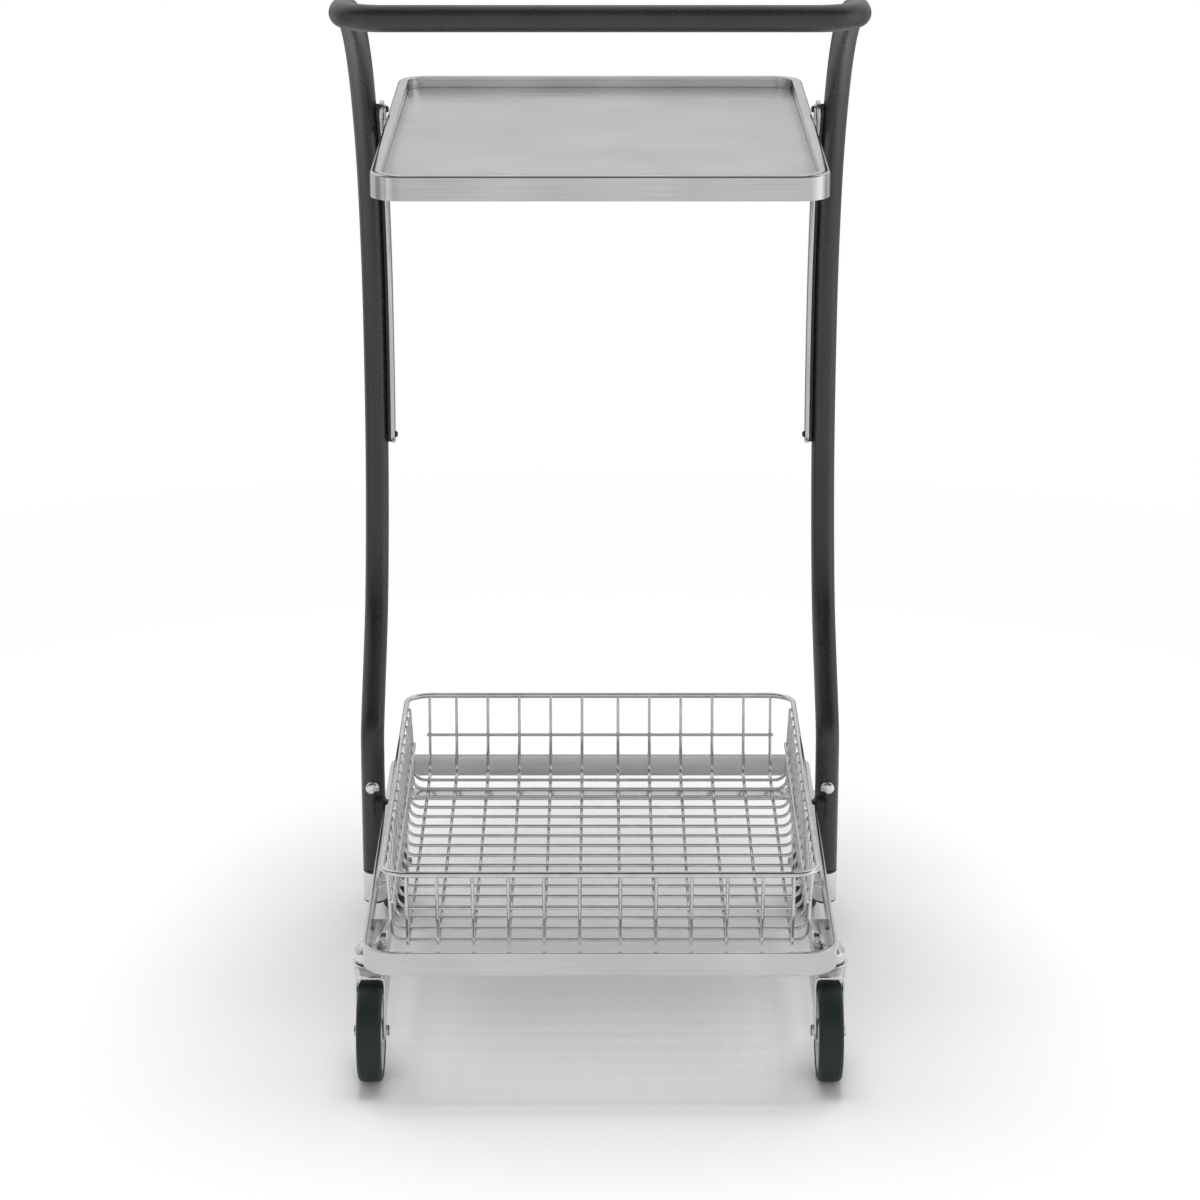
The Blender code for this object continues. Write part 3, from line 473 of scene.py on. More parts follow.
def prism(radius, low, high, place, axis, sides=6, edge=0.0004, turn=0.0):
    """Bevelled prism, such as a nut or a bolt's head."""
    bm = bmesh.new()
    bmesh.ops.create_cone(bm, cap_ends=True, segments=sides, radius1=radius, radius2=radius,
                          depth=high - low)
    bmesh.ops.bevel(bm, geom=bm.edges[:], offset=edge, segments=2, affect="EDGES")
    place = Matrix.Translation(place) @ turn_to(axis)
    shift = Matrix.Translation((0, 0, (low + high) / 2)) @ Matrix.Rotation(turn, 4, "Z")
    return moved(bm, place @ shift)


def block(low, high, edge=0.0006):
    """Box between two corners with rounded edges."""
    bm = bmesh.new()
    bmesh.ops.create_cube(bm, size=1.0)
    size = Vector(high) - Vector(low)
    bmesh.ops.scale(bm, vec=size, verts=bm.verts)
    bmesh.ops.translate(bm, vec=(Vector(low) + Vector(high)) / 2, verts=bm.verts)
    bmesh.ops.bevel(bm, geom=bm.edges[:], offset=edge, segments=3, affect="EDGES")
    return bm


def carve(obj, *cutters):
    """Cut bmeshes out of a piece and keep the result as its mesh."""
    for cutter in cutters:
        data = bpy.data.meshes.new("cutter")
        bmesh.ops.recalc_face_normals(cutter, faces=cutter.faces)
        cutter.to_mesh(data)
        cutter.free()
        tool = bpy.data.objects.new("cutter", data)
        SCENE.collection.objects.link(tool)
        cut = obj.modifiers.new("Cut", "BOOLEAN")
        cut.object = tool
        cut.solver = "EXACT"
        done = evaluated_mesh(obj)
        obj.modifiers.clear()
        obj.data = done
        bpy.data.objects.remove(tool)
        bpy.data.meshes.remove(data)
    obj.data.set_sharp_from_angle(angle=math.radians(40))
    return obj


def bead(path, radius, ripple=0.0016):
    """Weld bead: a bar with the ripples that a welding pass leaves."""
    points = [Vector(p) for p in path]
    fine, radii, travelled = [], [], 0.0
    for start, end in zip(points, points[1:]):
        steps = max(2, int((end - start).length / (ripple / 3)))
        for i in range(steps):
            fine.append(start.lerp(end, i / steps))
            radii.append(radius * (1 + 0.14 * math.sin(2 * math.pi * travelled / ripple)))
            travelled += (end - start).length / steps
    radii[0] = radii[-1] = radius * 0.3
    return sweep(fine, radii, 8)


def smooth(points, per_span):
    """Catmull-Rom curve through the points, as a finer list of points."""
    ends = [points[0] * 2 - points[1]] + list(points) + [points[-1] * 2 - points[-2]]
    found = []
    for before, start, end, after in zip(ends, ends[1:], ends[2:], ends[3:]):
        for i in range(per_span):
            t = i / per_span
            found.append(0.5 * (2 * start + (end - before) * t
                                + (2 * before - 5 * start + 4 * end - after) * t * t
                                + (3 * start - before - 3 * end + after) * t ** 3))
    return found + [points[-1]]


UPRIGHT = smooth([Vector((CHASSIS_Y + y, z)) for y, z in UPRIGHT_PROFILE], 8)


def upright_y(height):
    for below, above in zip(UPRIGHT, UPRIGHT[1:]):
        if below.y <= height <= above.y:
            return below.x + (above.x - below.x) * (height - below.y) / (above.y - below.y)
    return UPRIGHT[0].x


def strip_along_upright(width, low, high, round_ends=False):
    """Outline in Y and Z of a strip that follows the upright between two heights."""
    between = [p for p in UPRIGHT if low + 0.004 < p.y < high - 0.004]
    middle = [Vector((upright_y(low), low))] + between + [Vector((upright_y(high), high))]
    sides = ([], [])
    ends = []
    for before, here, after in zip([middle[0]] + middle, middle, middle[1:] + [middle[-1]]):
        along = (after - before).normalized() * width / 2
        across = Vector((along.y, -along.x))
        sides[0].append(tuple(here + across))
        sides[1].append(tuple(here - across))
        cap = [math.radians(20 * i) for i in range(1, 9)]
        ends.append([(here, across * math.cos(a) + along * math.sin(a)) for a in cap])
    top = [tuple(here + step) for here, step in ends[-1]] if round_ends else []
    bottom = [tuple(here - step) for here, step in ends[0]] if round_ends else []
    return sides[0] + top + sides[1][::-1] + bottom


def side_range(values, sign):
    """A range of X on the right side, or its mirror image on the left."""
    return values if sign > 0 else (-values[1], -values[0])


def inward(sign):
    return "-X" if sign > 0 else "X"


# --- push frame ---
def make_push_frame():
    side = [Vector((TUBE_X, TUBE_FOOT_Y, z))
            for z in (TUBE_END_Z, TUBE_END_Z + 0.0004, TUBE_END_Z + 0.0012)]
    side += [Vector((TUBE_X, p.x, p.y)) for p in UPRIGHT]
    bend_x = TUBE_X - HANDLE_CORNER
    bend = arc((bend_x, HANDLE_Y + HANDLE_CORNER), HANDLE_CORNER, 0, -90, 16)[1:]
    side += [Vector((x, y, HANDLE_Z)) for x, y in bend]
    other_side = [Vector((-p.x, p.y, p.z)) for p in reversed(side)]
    radii = [TUBE_RADIUS] * (2 * len(side))
    radii[0] = radii[-1] = TUBE_RADIUS - 0.001
    radii[1] = radii[-2] = TUBE_RADIUS - 0.0003
    new_piece("frame_tube", sweep(side + other_side, radii, 40), COAT, stands_for=["push_frame"])


def make_foot(side, sign):
    """Plated stub under the tube, a black ring painted into the groove at the stub's top as that groove's
    shade, and the plug in its open end.
    """
    place = (sign * TUBE_X, TUBE_FOOT_Y, 0)
    top = TUBE_END_Z - GAP
    stub = [(0, top), (TUBE_RADIUS - 0.0012, top), (TUBE_RADIUS - 0.0012, top - 0.0012),
            (TUBE_RADIUS, top - 0.002), (TUBE_RADIUS, STUB_LOW_Z), (0.0095, STUB_LOW_Z),
            (0.0095, 0.06), (0, 0.06)]
    new_piece("foot_sleeve_" + side, lathe(stub, place, soft=0.0004), BRIGHT_ZINC,
              stands_for=["foot_stub_" + side])
    # Painted shade: a black ring stands for the dark groove between the tube's end and the stub.
    groove_shade_ring = ring(TUBE_RADIUS - 0.002, TUBE_RADIUS - 0.0001, top + 0.0002, top - 0.0013, place)
    new_piece("foot_groove_shade_" + side, groove_shade_ring, BLACK)
    brim = STUB_LOW_Z - GAP
    plug = [(0, 0.059), (0.0085, 0.059), (0.009, 0.057), (0.009, brim), (TUBE_RADIUS, brim),
            (TUBE_RADIUS - 0.0008, 0.04), (0.009, 0.0384), (0.005, 0.038), (0.005, 0.04),
            (0, 0.04)]
    new_piece("foot_plug_" + side, lathe(plug, place), BLACK, stands_for=["foot_cap_" + side])


def make_dome_bolt(side, sign):
    """Mushroom-headed pin bolt in front, washer and cap nut behind the tube."""
    near = TUBE_FOOT_Y - TUBE_RADIUS - 0.0002
    head = [(0, 0.0052), (0.0026, 0.0049), (0.0048, 0.004), (0.0064, 0.0024), (0.0072, 0.0008),
            (0.0072, 0.0), (0.003, 0.0), (0.003, -0.005), (0, -0.005)]
    new_piece("pin_head_" + side, lathe(head, (sign * TUBE_X, near, DOME_BOLT_Z), "-Y", soft=0.001),
              BRIGHT_ZINC, stands_for=["dome_bolt_" + side])
    far = TUBE_FOOT_Y + TUBE_RADIUS + 0.0002
    place = (sign * TUBE_X, far, DOME_BOLT_Z)
    washer = ring(0.003, 0.0072, 0.0, 0.001, place, "Y")
    nut = prism(0.0062, 0.001, 0.0046, place, "Y")
    dome = lathe([(0.005, 0.0044), (0.0049, 0.006), (0.004, 0.0076), (0.0022, 0.0086), (0, 0.0089)],
                 place, "Y", soft=0.0008)
    new_piece("cap_nut_" + side, join(washer, nut, dome), ZINC, stands_for=["dome_nut_" + side])


def make_side_bolt(side, sign):
    """Button-head screw with a hexagon socket, from inside the hoop into the tube's foot."""
    place = (sign * HOOP_INNER_X, TUBE_FOOT_Y, SIDE_BOLT_Z)
    head = [(0, 0.0042), (0.003, 0.0041), (0.005, 0.0028), (0.0058, 0.0006), (0.0058, 0.0),
            (0.003, 0.0), (0.003, -0.003), (0, -0.003)]
    screw = new_piece("side_screw_" + side, lathe(head, place, inward(sign)), ZINC,
                      stands_for=["side_bolt_" + side])
    carve(screw, prism(0.0023, 0.002, 0.006, place, inward(sign), edge=0.0001))


def make_saddle(side, sign):
    """Moulded wedge between the round tube and the flat hoop, with its hook over the bar."""
    front, back = span("saddle_" + side, "Y")
    low, high = span("saddle_" + side, "Z")
    face = HOOP_HALF_WIDTH + GAP
    xs = side_range((face, face + 0.0095), sign)
    wedge = block((xs[0], front, low), (xs[1], back, high), 0.0012)
    wedge = new_piece("saddle_wedge_" + side, wedge, BLACK, stands_for=["saddle_" + side])
    radius, bottom, top = TUBE_RADIUS + 0.0002, low - 0.02, high + 0.02
    carve(wedge, lathe([(0, bottom), (radius, bottom), (radius, top), (0, top)],
                       (sign * TUBE_X, TUBE_FOOT_Y, 0), soft=0.0001))
    xs = side_range((HOOP_INNER_X, face + 0.002), sign)
    hook = block((xs[0], front + 0.0006, HOOP_Z[1] + 0.0001),
                 (xs[1], front + 0.008, high - 0.0001), 0.0007)
    new_piece("saddle_hook_" + side, hook, BLACK)


# --- chassis ---
def make_hoop():
    low, high = HOOP_Z
    corners = [(0, low), (0, high), (HOOP_THICK, high), (HOOP_THICK, low)]
    section = rounded(corners, 0.001, closed=True, steps=5)
    new_piece("hoop_band", hoop(HOOP_HALF_WIDTH, HOOP_Y, HOOP_CORNER, section), BAND_STEEL,
              stands_for=["chassis_hoop"])
    seam = HOOP_Y[0] + HOOP_THICK
    line = [(0.0, seam, low + 0.001), (0.0, seam, high - 0.001)]
    new_piece("hoop_seam", bead(line, 0.0008), WELD)


def make_cross_bar():
    near, far = CROSS_BAR_Y
    low, high = SUPPORT_Z - 0.003, SUPPORT_Z
    outline = [(-HOOP_INNER_X, near), (HOOP_INNER_X, near), (HOOP_INNER_X, far), (-HOOP_INNER_X, far)]
    new_piece("cross_bar", plate([outline], low, high), BAR_STEEL, stands_for=["far_cross_bar"])
    beads = []
    for _, sign in SIDES:
        x = sign * (HOOP_INNER_X - 0.0003)
        beads.append(bead([(x, near + 0.002, low), (x, far - 0.002, low)], 0.0014))
    new_piece("cross_bar_welds", join(*beads), WELD)


def make_peg(side, sign):
    axis = inward(sign)
    place = (sign * HOOP_INNER_X, PEG_Y, SUPPORT_Z - PEG_RADIUS)
    pin = lathe([(0, 0.0298), (0.0022, 0.0298), (PEG_RADIUS, 0.0288), (PEG_RADIUS, 0.0), (0, 0.0)],
                place, axis)
    collar = prism(0.0058, 0.0, 0.004, place, axis)
    stem = lathe([(0, -HOOP_THICK - 0.0012), (0.0034, -HOOP_THICK - 0.001), (0.004, -HOOP_THICK),
                  (0.0028, -HOOP_THICK), (0.0028, 0.0), (0, 0.0)], place, axis, soft=0.0003)
    new_piece("basket_stud_" + side, join(pin, collar, stem), ZINC, stands_for=["basket_peg_" + side])


def make_bracket(name, sign, ends, bolt_y, slot_y):
    """Corner plate under the hoop, welded to it along the bar."""
    inner, outer = PLATE_X
    low, high = ends
    outline = (arc((inner + 0.004, high - 0.004), 0.004, 90, 180, 6)
               + arc((inner + 0.004, low + 0.004), 0.004, 180, 270, 6)
               + [(outer, low), (outer, high)])
    reach = 0.0065
    slot = (arc((PLATE_BOLT_X, slot_y + reach), 0.0025, 0, 180, 8)
            + arc((PLATE_BOLT_X, slot_y - reach), 0.0025, 180, 360, 8))
    hole = circle((PLATE_BOLT_X, bolt_y), BOLT_HOLE_RADIUS)
    outlines = [[(sign * x, y) for x, y in line] for line in (outline, slot, hole)]
    new_piece("corner_plate_" + name, plate(outlines, *BRACKET_Z, edge=0.0004), PLATE_STEEL,
              stands_for=["bracket_" + name])
    x = sign * (HOOP_INNER_X - 0.0004)
    z = HOOP_Z[0] + 0.0002
    beads = [bead([(x, y - 0.009, z), (x, y + 0.009, z)], 0.0012) for y in (low + 0.014, high - 0.014)]
    new_piece("corner_welds_" + name, join(*beads), WELD)


def make_plate_bolt(name, sign, bolt_y):
    """Hexagon bolt from below, washer and thread end above the bracket."""
    place = (sign * PLATE_BOLT_X, bolt_y, 0)
    top, bottom = BRACKET_Z[1], TOP_PLATE_Z[0]
    washer = ring(0.003, 0.0056, top, top + 0.0008, place)
    nut = prism(0.005, top + 0.0008, top + 0.0036, place, "Z", turn=0.3)
    stem = lathe([(0, top + 0.0066), (0.002, top + 0.0066), (0.0025, top + 0.006), (0.0025, bottom),
                  (0, bottom)], place, soft=0.0003)
    head = prism(0.0056, bottom - 0.0026, bottom, place, "Z", turn=0.1)
    new_piece("corner_bolt_" + name, join(washer, nut, stem, head), ZINC,
              stands_for=["plate_bolt_" + name])


# --- casters ---
def fork_rows(place, edges, crown, bend, top):
    """Pressed fork as rows of points from the left eye over the crown to the right eye.

    edges gives (near, far) Y at a height, from the place's own; crown is the outer half width at
    the far edge, which narrows to the legs' own width at the near edge.
    """
    heights = [WHEEL_RADIUS - EYE_RADIUS + 0.0002]
    heights += [WHEEL_RADIUS - EYE_RADIUS * math.cos(math.radians(a)) for a in range(20, 91, 10)]
    heights += [WHEEL_RADIUS + (top - bend - WHEEL_RADIUS) * i / 10 for i in range(1, 11)]
    leg_x = LEG_GAP + LEG_THICK / 2
    columns = []
    for k in range(9):
        flare = (crown - LEG_GAP - LEG_THICK) * math.sin(math.pi * k / 16) ** 2
        leg = [(leg_x + flare * max(0.0, z - 0.066) / (top - 0.066), z) for z in heights]
        centre = (leg[-1][0] - bend, top - bend)
        leg += arc(centre, bend, 0, 90, 6)[1:]
        columns.append(leg + [(-x, z) for x, z in reversed(leg)])
    rows = []
    for i, (_, z) in enumerate(columns[0]):
        near, far = edges(min(z, top - bend))
        rows.append([(place[0] + columns[k][i][0], place[1] + near + (far - near) * k / 8, z)
                     for k in range(9)])
    return rows


def sheet_piece(name, rows, material, body, thickness, stands_for):
    """Pressed sheet: a surface through the rows of points, given its thickness."""
    obj = new_piece(name, skin(rows, False, False), material, body, stands_for, sharp=60)
    wall = obj.modifiers.new("Sheet", "SOLIDIFY")
    wall.thickness = thickness
    wall.offset = 0
    wall.use_even_offset = True
    edge = obj.modifiers.new("Edge", "BEVEL")
    edge.width = 0.0005
    edge.segments = 2
    edge.limit_method = "ANGLE"
    edge.angle_limit = math.radians(50)
    return obj


def eye_edge(z):
    """Half width of the round axle eye at a height."""
    drop = max(0.0, WHEEL_RADIUS - z)
    return math.sqrt(max(0.0, EYE_RADIUS ** 2 - drop ** 2))


def swivel_edges(z):
    """Near and far edges of the swivelling fork's legs, seen from the side."""
    if z <= WHEEL_RADIUS:
        half = eye_edge(z)
        return -TRAIL - half, -TRAIL + half
    share = min(1.0, (z - WHEEL_RADIUS) / (0.09 - WHEEL_RADIUS))
    near = -TRAIL - EYE_RADIUS + (EYE_RADIUS - 0.004) * share
    far = -TRAIL + EYE_RADIUS + (0.0065 + TRAIL - EYE_RADIUS) * math.sin(share * math.pi / 2)
    return near, far


def fixed_edges(z):
    if z <= WHEEL_RADIUS:
        half = eye_edge(z)
        return -half, half
    share = (z - WHEEL_RADIUS) / (TOP_PLATE_Z[0] - WHEEL_RADIUS)
    half = EYE_RADIUS + 0.01 * min(1.0, share) ** 0.8
    return -half, half


def make_swivel_fork(name, place):
    """Swivelling fork: legs pressed from one sheet with its crown, and a round ball cup."""
    rows = fork_rows(place, swivel_edges, CROWN_HALF_WIDTH, 0.004, CROWN_Z[0])
    body = name + "_fork"
    sheet_piece("swivel_legs_" + name, rows, ZINC, body, LEG_THICK, ["fork_" + name])
    low, high = CROWN_Z
    rim = CROWN_HALF_WIDTH
    cup = [(0.0076, low - 0.0004), (rim - 0.0022, low - 0.0004), (rim - 0.0004, low + 0.0004),
           (rim, high - 0.0004), (rim - 0.0012, high + 0.0003), (0.0076, high)]
    new_piece("swivel_cup_" + name, lathe(cup, (place[0], place[1], 0), closed=True), ZINC, body)


def make_top_plate(name, sign, ends, bolt_y, stands_for=()):
    """Caster's top plate with rounded corners and its bolt hole."""
    inner, outer = PLATE_X
    near, far = ends
    corners = ((outer, near), (outer, far), (inner, far), (inner, near))
    outline = rounded([(sign * x, y) for x, y in corners], 0.003, closed=True)
    hole = [(sign * x, y) for x, y in circle((PLATE_BOLT_X, bolt_y), BOLT_HOLE_RADIUS)]
    new_piece("caster_plate_" + name, plate([outline, hole], *TOP_PLATE_Z, edge=0.0004), ZINC,
              stands_for=stands_for)


def make_swivel_head(name, sign, place):
    """Top plate, domed race housing, a black ring painted under it as the shade of the gap above the crown,
    and the kingpin's rivet.
    """
    ends = (SWIVEL_Y - 0.03, SWIVEL_Y + 0.03)
    make_top_plate(name, sign, ends, NEAR_BOLT_Y, ["swivel_head_" + name])
    low = TOP_PLATE_Z[0]
    crown_low, crown_high = CROWN_Z
    housing = [(0, low + 0.0008), (0.0085, low + 0.0008), (0.0118, low - 0.0012), (0.015, low - 0.0048),
               (0.0172, 0.1205), (0.0176, 0.1185), (0.0176, 0.1128), (0.0168, crown_high + 0.0012),
               (0.009, crown_high + 0.0012), (0, crown_high + 0.0012)]
    place = (place[0], place[1], 0)
    new_piece("race_housing_" + name, lathe(housing, place, soft=0.0009, steps=64), ZINC)
    # Painted shade: a black ring fills the gap between the race housing and the fork's crown.
    gap_shade = ring(0.009, 0.0164, crown_high + 0.0013, crown_high + 0.0004, place)
    new_piece("race_gap_shade_" + name, gap_shade, BLACK)
    rivet = [(0, crown_high + 0.001), (0.007, crown_high + 0.001), (0.007, crown_low - 0.0006),
             (0.0104, crown_low - 0.0006), (0.0104, 0.1034), (0.0086, 0.1022), (0.005, 0.102),
             (0.0044, 0.1032), (0, 0.1032)]
    new_piece("kingpin_" + name, lathe(rivet, place), ZINC)


def make_fixed_fork(name, sign):
    """Rigid fork: pressed legs under a plate with its bolt hole."""
    place = (sign * WHEEL_X, FIXED_Y)
    rows = fork_rows(place, fixed_edges, LEG_GAP + LEG_THICK, 0.003, TOP_PLATE_Z[0] - 0.0025)
    sheet_piece("fixed_legs_" + name, rows, ZINC, "chassis", LEG_THICK, ["fork_" + name])
    make_top_plate(name, sign, (FIXED_Y - 0.035, FIXED_Y + 0.02), FAR_BOLT_Y)


def make_axle(name, body, sign, place):
    """Hexagon axle bolt with its head outboard, and a lock nut with a nylon ring inboard."""
    outboard = inward(-sign)
    half = LEG_GAP + LEG_THICK
    washer = ring(0.0042, 0.007, half, half + 0.0005, place, outboard)
    head = prism(0.0058, half + 0.0004, half + 0.0022, place, outboard, turn=0.2)
    stem = lathe([(0, half + 0.001), (0.0039, half + 0.001), (0.0039, -half - 0.0034),
                  (0.0032, -half - 0.0039), (0, -half - 0.0039)], place, outboard, soft=0.0003)
    new_piece("axle_" + name, join(washer, head, stem), ZINC, body, ["axle_bolt_" + name])
    nut = prism(0.0062, -half - 0.0024, -half, place, outboard, turn=0.45)
    new_piece("lock_nut_" + name, nut, ZINC, body, ["axle_nut_" + name])
    low, high = -half - 0.0022, -half - 0.0031
    insert = [(0.004, low), (0.0052, low), (0.005, high), (0.004, high)]
    insert = lathe(insert, place, outboard, closed=True, soft=0.0002)
    new_piece("nut_insert_" + name, insert, NYLON, body)


def mirrored(profile):
    """A profile followed by its own mirror image below the middle plane."""
    return profile + [(r, -z) for r, z in reversed(profile)]


def make_wheel(name, body, place):
    """Ribbed moulded core with bearing covers, and the tyre with its crowned tread."""
    hub_end, rim_end, web = WHEEL_HALF - 0.0006, WHEEL_HALF - 0.001, 0.003
    lip = RIM_RADIUS - 0.0038
    core = mirrored([(0.0043, hub_end), (0.0108, hub_end), (0.012, hub_end - 0.0022), (0.0124, web),
                     (lip - 0.0022, web), (lip, rim_end - 0.0012), (lip + 0.0014, rim_end),
                     (RIM_RADIUS, rim_end)])
    parts = [lathe(core, place, "X", closed=True, soft=0.0008, steps=72)]
    to_axle = Matrix.Translation(place) @ turn_to("X")
    for i in range(8):
        rib = block((0.0105, -0.0011, -0.0078), (lip - 0.0004, 0.0011, 0.0078), 0.0006)
        parts.append(moved(rib, to_axle @ Matrix.Rotation(math.pi * i / 4, 4, "Z")))
    new_piece("wheel_centre_" + name, join(*parts), CORE, body, ["wheel_" + name])
    covers = []
    for side in (-1, 1):
        low, high = side * (hub_end - 0.0002), side * (hub_end + 0.0004)
        cover = [(0.0043, low), (0.0094, low), (0.0092, high), (0.0043, high)]
        covers.append(lathe(cover, place, "X", closed=True, soft=0.0002))
    new_piece("bearing_covers_" + name, join(*covers), BLACK, body)
    tread = [(WHEEL_RADIUS - 0.00035 * (z / 0.0085) ** 2, z)
             for z in (0.0085, 0.006, 0.003, 0.0003)]
    tyre = mirrored([(RIM_RADIUS + 0.0001, WHEEL_HALF - 0.0006), (RIM_RADIUS + 0.0012, WHEEL_HALF),
                     (WHEEL_RADIUS - 0.004, WHEEL_HALF),
                     (WHEEL_RADIUS - 0.0016, WHEEL_HALF - 0.0014)] + tread)
    new_piece("tread_" + name, lathe(tyre, place, "X", closed=True, soft=0.0007, steps=96), RUBBER, body,
              ["tyre_" + name])


def make_near_caster(side, sign):
    name = "near_" + side
    place = (sign * WHEEL_X, SWIVEL_Y)
    make_bracket(name, sign, (SWIVEL_Y - 0.045, SWIVEL_Y + 0.045), NEAR_BOLT_Y, SWIVEL_Y + 0.002)
    make_plate_bolt(name, sign, NEAR_BOLT_Y)
    make_swivel_head(name, sign, place)
    make_swivel_fork(name, place)
    axle = (sign * WHEEL_X, NEAR_AXLE_Y, WHEEL_RADIUS)
    make_axle(name, name + "_fork", sign, axle)
    make_wheel(name, name + "_wheel", axle)


def make_far_caster(side, sign):
    name = "far_" + side
    make_bracket(name, sign, (FIXED_Y - 0.045, FIXED_Y + 0.019), FAR_BOLT_Y, FIXED_Y + 0.001)
    make_plate_bolt(name, sign, FAR_BOLT_Y)
    make_fixed_fork(name, sign)
    axle = (sign * WHEEL_X, FIXED_Y, WHEEL_RADIUS)
    make_axle(name, "chassis", sign, axle)
    make_wheel(name, name + "_wheel", axle)


# --- tray ---
def make_tray():
    """Folded frame: skirt, round shoulder, flat rim, upright wall and a ledge for the floor panel."""
    rim, floor, wall, sheet = TRAY_RIM_Z, TRAY_FLOOR_Z, TRAY_RIM_WIDTH, 0.0012
    shoulder = 0.0032
    outer = [(0.0, TRAY_SKIRT_Z)] + arc((shoulder, rim - shoulder), shoulder, 180, 90, 8)
    outer += arc((wall - 0.0008, rim - 0.0008), 0.0008, 90, 0, 4)
    outer += [(wall, floor - sheet), (wall + 0.006, floor - sheet)]
    inner = [(wall + 0.006, floor - 2 * sheet), (wall - sheet, floor - 2 * sheet),
             (wall - sheet, rim - sheet), (shoulder, rim - sheet)]
    inner += arc((shoulder, rim - shoulder), shoulder - sheet, 90, 180, 4)[1:] + [(sheet, TRAY_SKIRT_Z)]
    new_piece("tray_frame", hoop(TRAY_HALF_WIDTH, TRAY_Y, TRAY_CORNER, outer + inner), BAND_STEEL,
              stands_for=["tray"])
    inset = wall + 0.0007
    ends = (TRAY_Y[0] + inset, TRAY_Y[1] - inset)
    panel = rounded_rectangle(TRAY_HALF_WIDTH - inset, *ends, TRAY_CORNER - inset)
    new_piece("tray_panel", plate([panel], floor - sheet, floor, edge=0.0004), FLOOR_STEEL)


def make_rail(side, sign):
    outline = strip_along_upright(RAIL_WIDTH, RAIL_Z[0] + 0.011, RAIL_Z[1] - 0.009, round_ends=True)
    rail = plate([outline], *side_range(RAIL_X, sign), edge=0.0006, along="X")
    new_piece("side_rail_" + side, rail, RAIL_STEEL, stands_for=["tray_rail_" + side])
    strip = strip_along_upright(GASKET_WIDTH, RAIL_Z[0] + 0.002, RAIL_Z[1] - 0.004)
    gasket = plate([strip], *side_range((RAIL_X[1], HOOP_HALF_WIDTH + 0.0006), sign), edge=0.0002, along="X")
    new_piece("rail_strip_" + side, gasket, BLACK, stands_for=["rail_gasket_" + side])
    for height, level in zip(RAIL_SCREW_Z, ("bottom", "top")):
        seat = RAIL_X[0] - (EAR_THICK + GAP if level == "top" else 0)
        place = (sign * seat, upright_y(height), height)
        head = [(0, 0.003), (0.002, 0.0029), (0.0033, 0.0018), (0.0036, 0.0003), (0.0036, 0.0),
                (0.002, 0.0), (0.002, -0.003), (0, -0.003)]
        screw = new_piece(f"pan_screw_{level}_{side}", lathe(head, place, inward(sign), steps=32), BLACK,
                          stands_for=[f"rail_screw_{level}_{side}"])
        blades = []
        for angle in (0, 90):
            blade = block((-0.002, -0.00045, 0.0014), (0.002, 0.00045, 0.006), 0.0001)
            at = Matrix.Translation(place) @ turn_to(inward(sign))
            blades.append(moved(blade, at @ Matrix.Rotation(math.radians(angle), 4, "Z")))
        carve(screw, *blades)


def make_tray_bracket(side, sign):
    """Folded angle under the tray's edge, with the ear that takes the rail's top screw."""
    top = TRAY_SKIRT_Z - GAP
    outer = RAIL_X[0] - GAP
    ear_y = upright_y(RAIL_SCREW_Z[1])
    near, far = ear_y - 0.1, ear_y + 0.1
    x_leg, z_shelf, bend = outer - EAR_THICK / 2, top - 0.00125, 0.003
    fold = [(outer - 0.034, z_shelf), (x_leg - bend, z_shelf)]
    fold += arc((x_leg - bend, z_shelf - bend), bend, 90, 0, 6)[1:] + [(x_leg, top - 0.0155)]
    steps = 12
    rows = [[(sign * x, near + (far - near) * k / steps, z) for k in range(steps + 1)] for x, z in fold]
    sheet_piece("tray_angle_" + side, rows, BAR_STEEL, "chassis", EAR_THICK, ["tray_bracket_" + side])
    head = arc((ear_y, RAIL_SCREW_Z[1]), 0.0048, 0, 180, 12)
    ear = [(ear_y - 0.013, top - 0.012), (ear_y + 0.013, top - 0.012), (ear_y + 0.007, top + 0.006)] + head
    ear.append((ear_y - 0.007, top + 0.006))
    hole = circle((ear_y, RAIL_SCREW_Z[1]), 0.0025)
    span = side_range((outer - EAR_THICK, outer), sign)
    new_piece("tray_ear_" + side, plate([ear, hole], *span, edge=0.0004, along="X"), BAR_STEEL)


# --- basket ---
def bent_wire(top_a, low_a, low_b, top_b):
    """U-shaped path as (across, height), with the walls' lean carried into the bends."""
    floor = low_a[1]
    points = [top_a]
    for corner, sign in ((low_a, 1), (low_b, -1)):
        centre = (corner[0] + sign * WIRE_BEND, floor + WIRE_BEND)
        start, end = (180, 270) if sign > 0 else (270, 360)
        points += arc(centre, WIRE_BEND, start, end, 8)
    return points + [top_b]


def weld_spot(place, radius):
    """Small squashed swelling where two wires are welded."""
    bm = bmesh.new()
    bmesh.ops.create_icosphere(bm, subdivisions=2, radius=radius)
    return moved(bm, Matrix.Translation(place) @ Matrix.Diagonal((1.0, 1.0, 0.8, 1.0)))


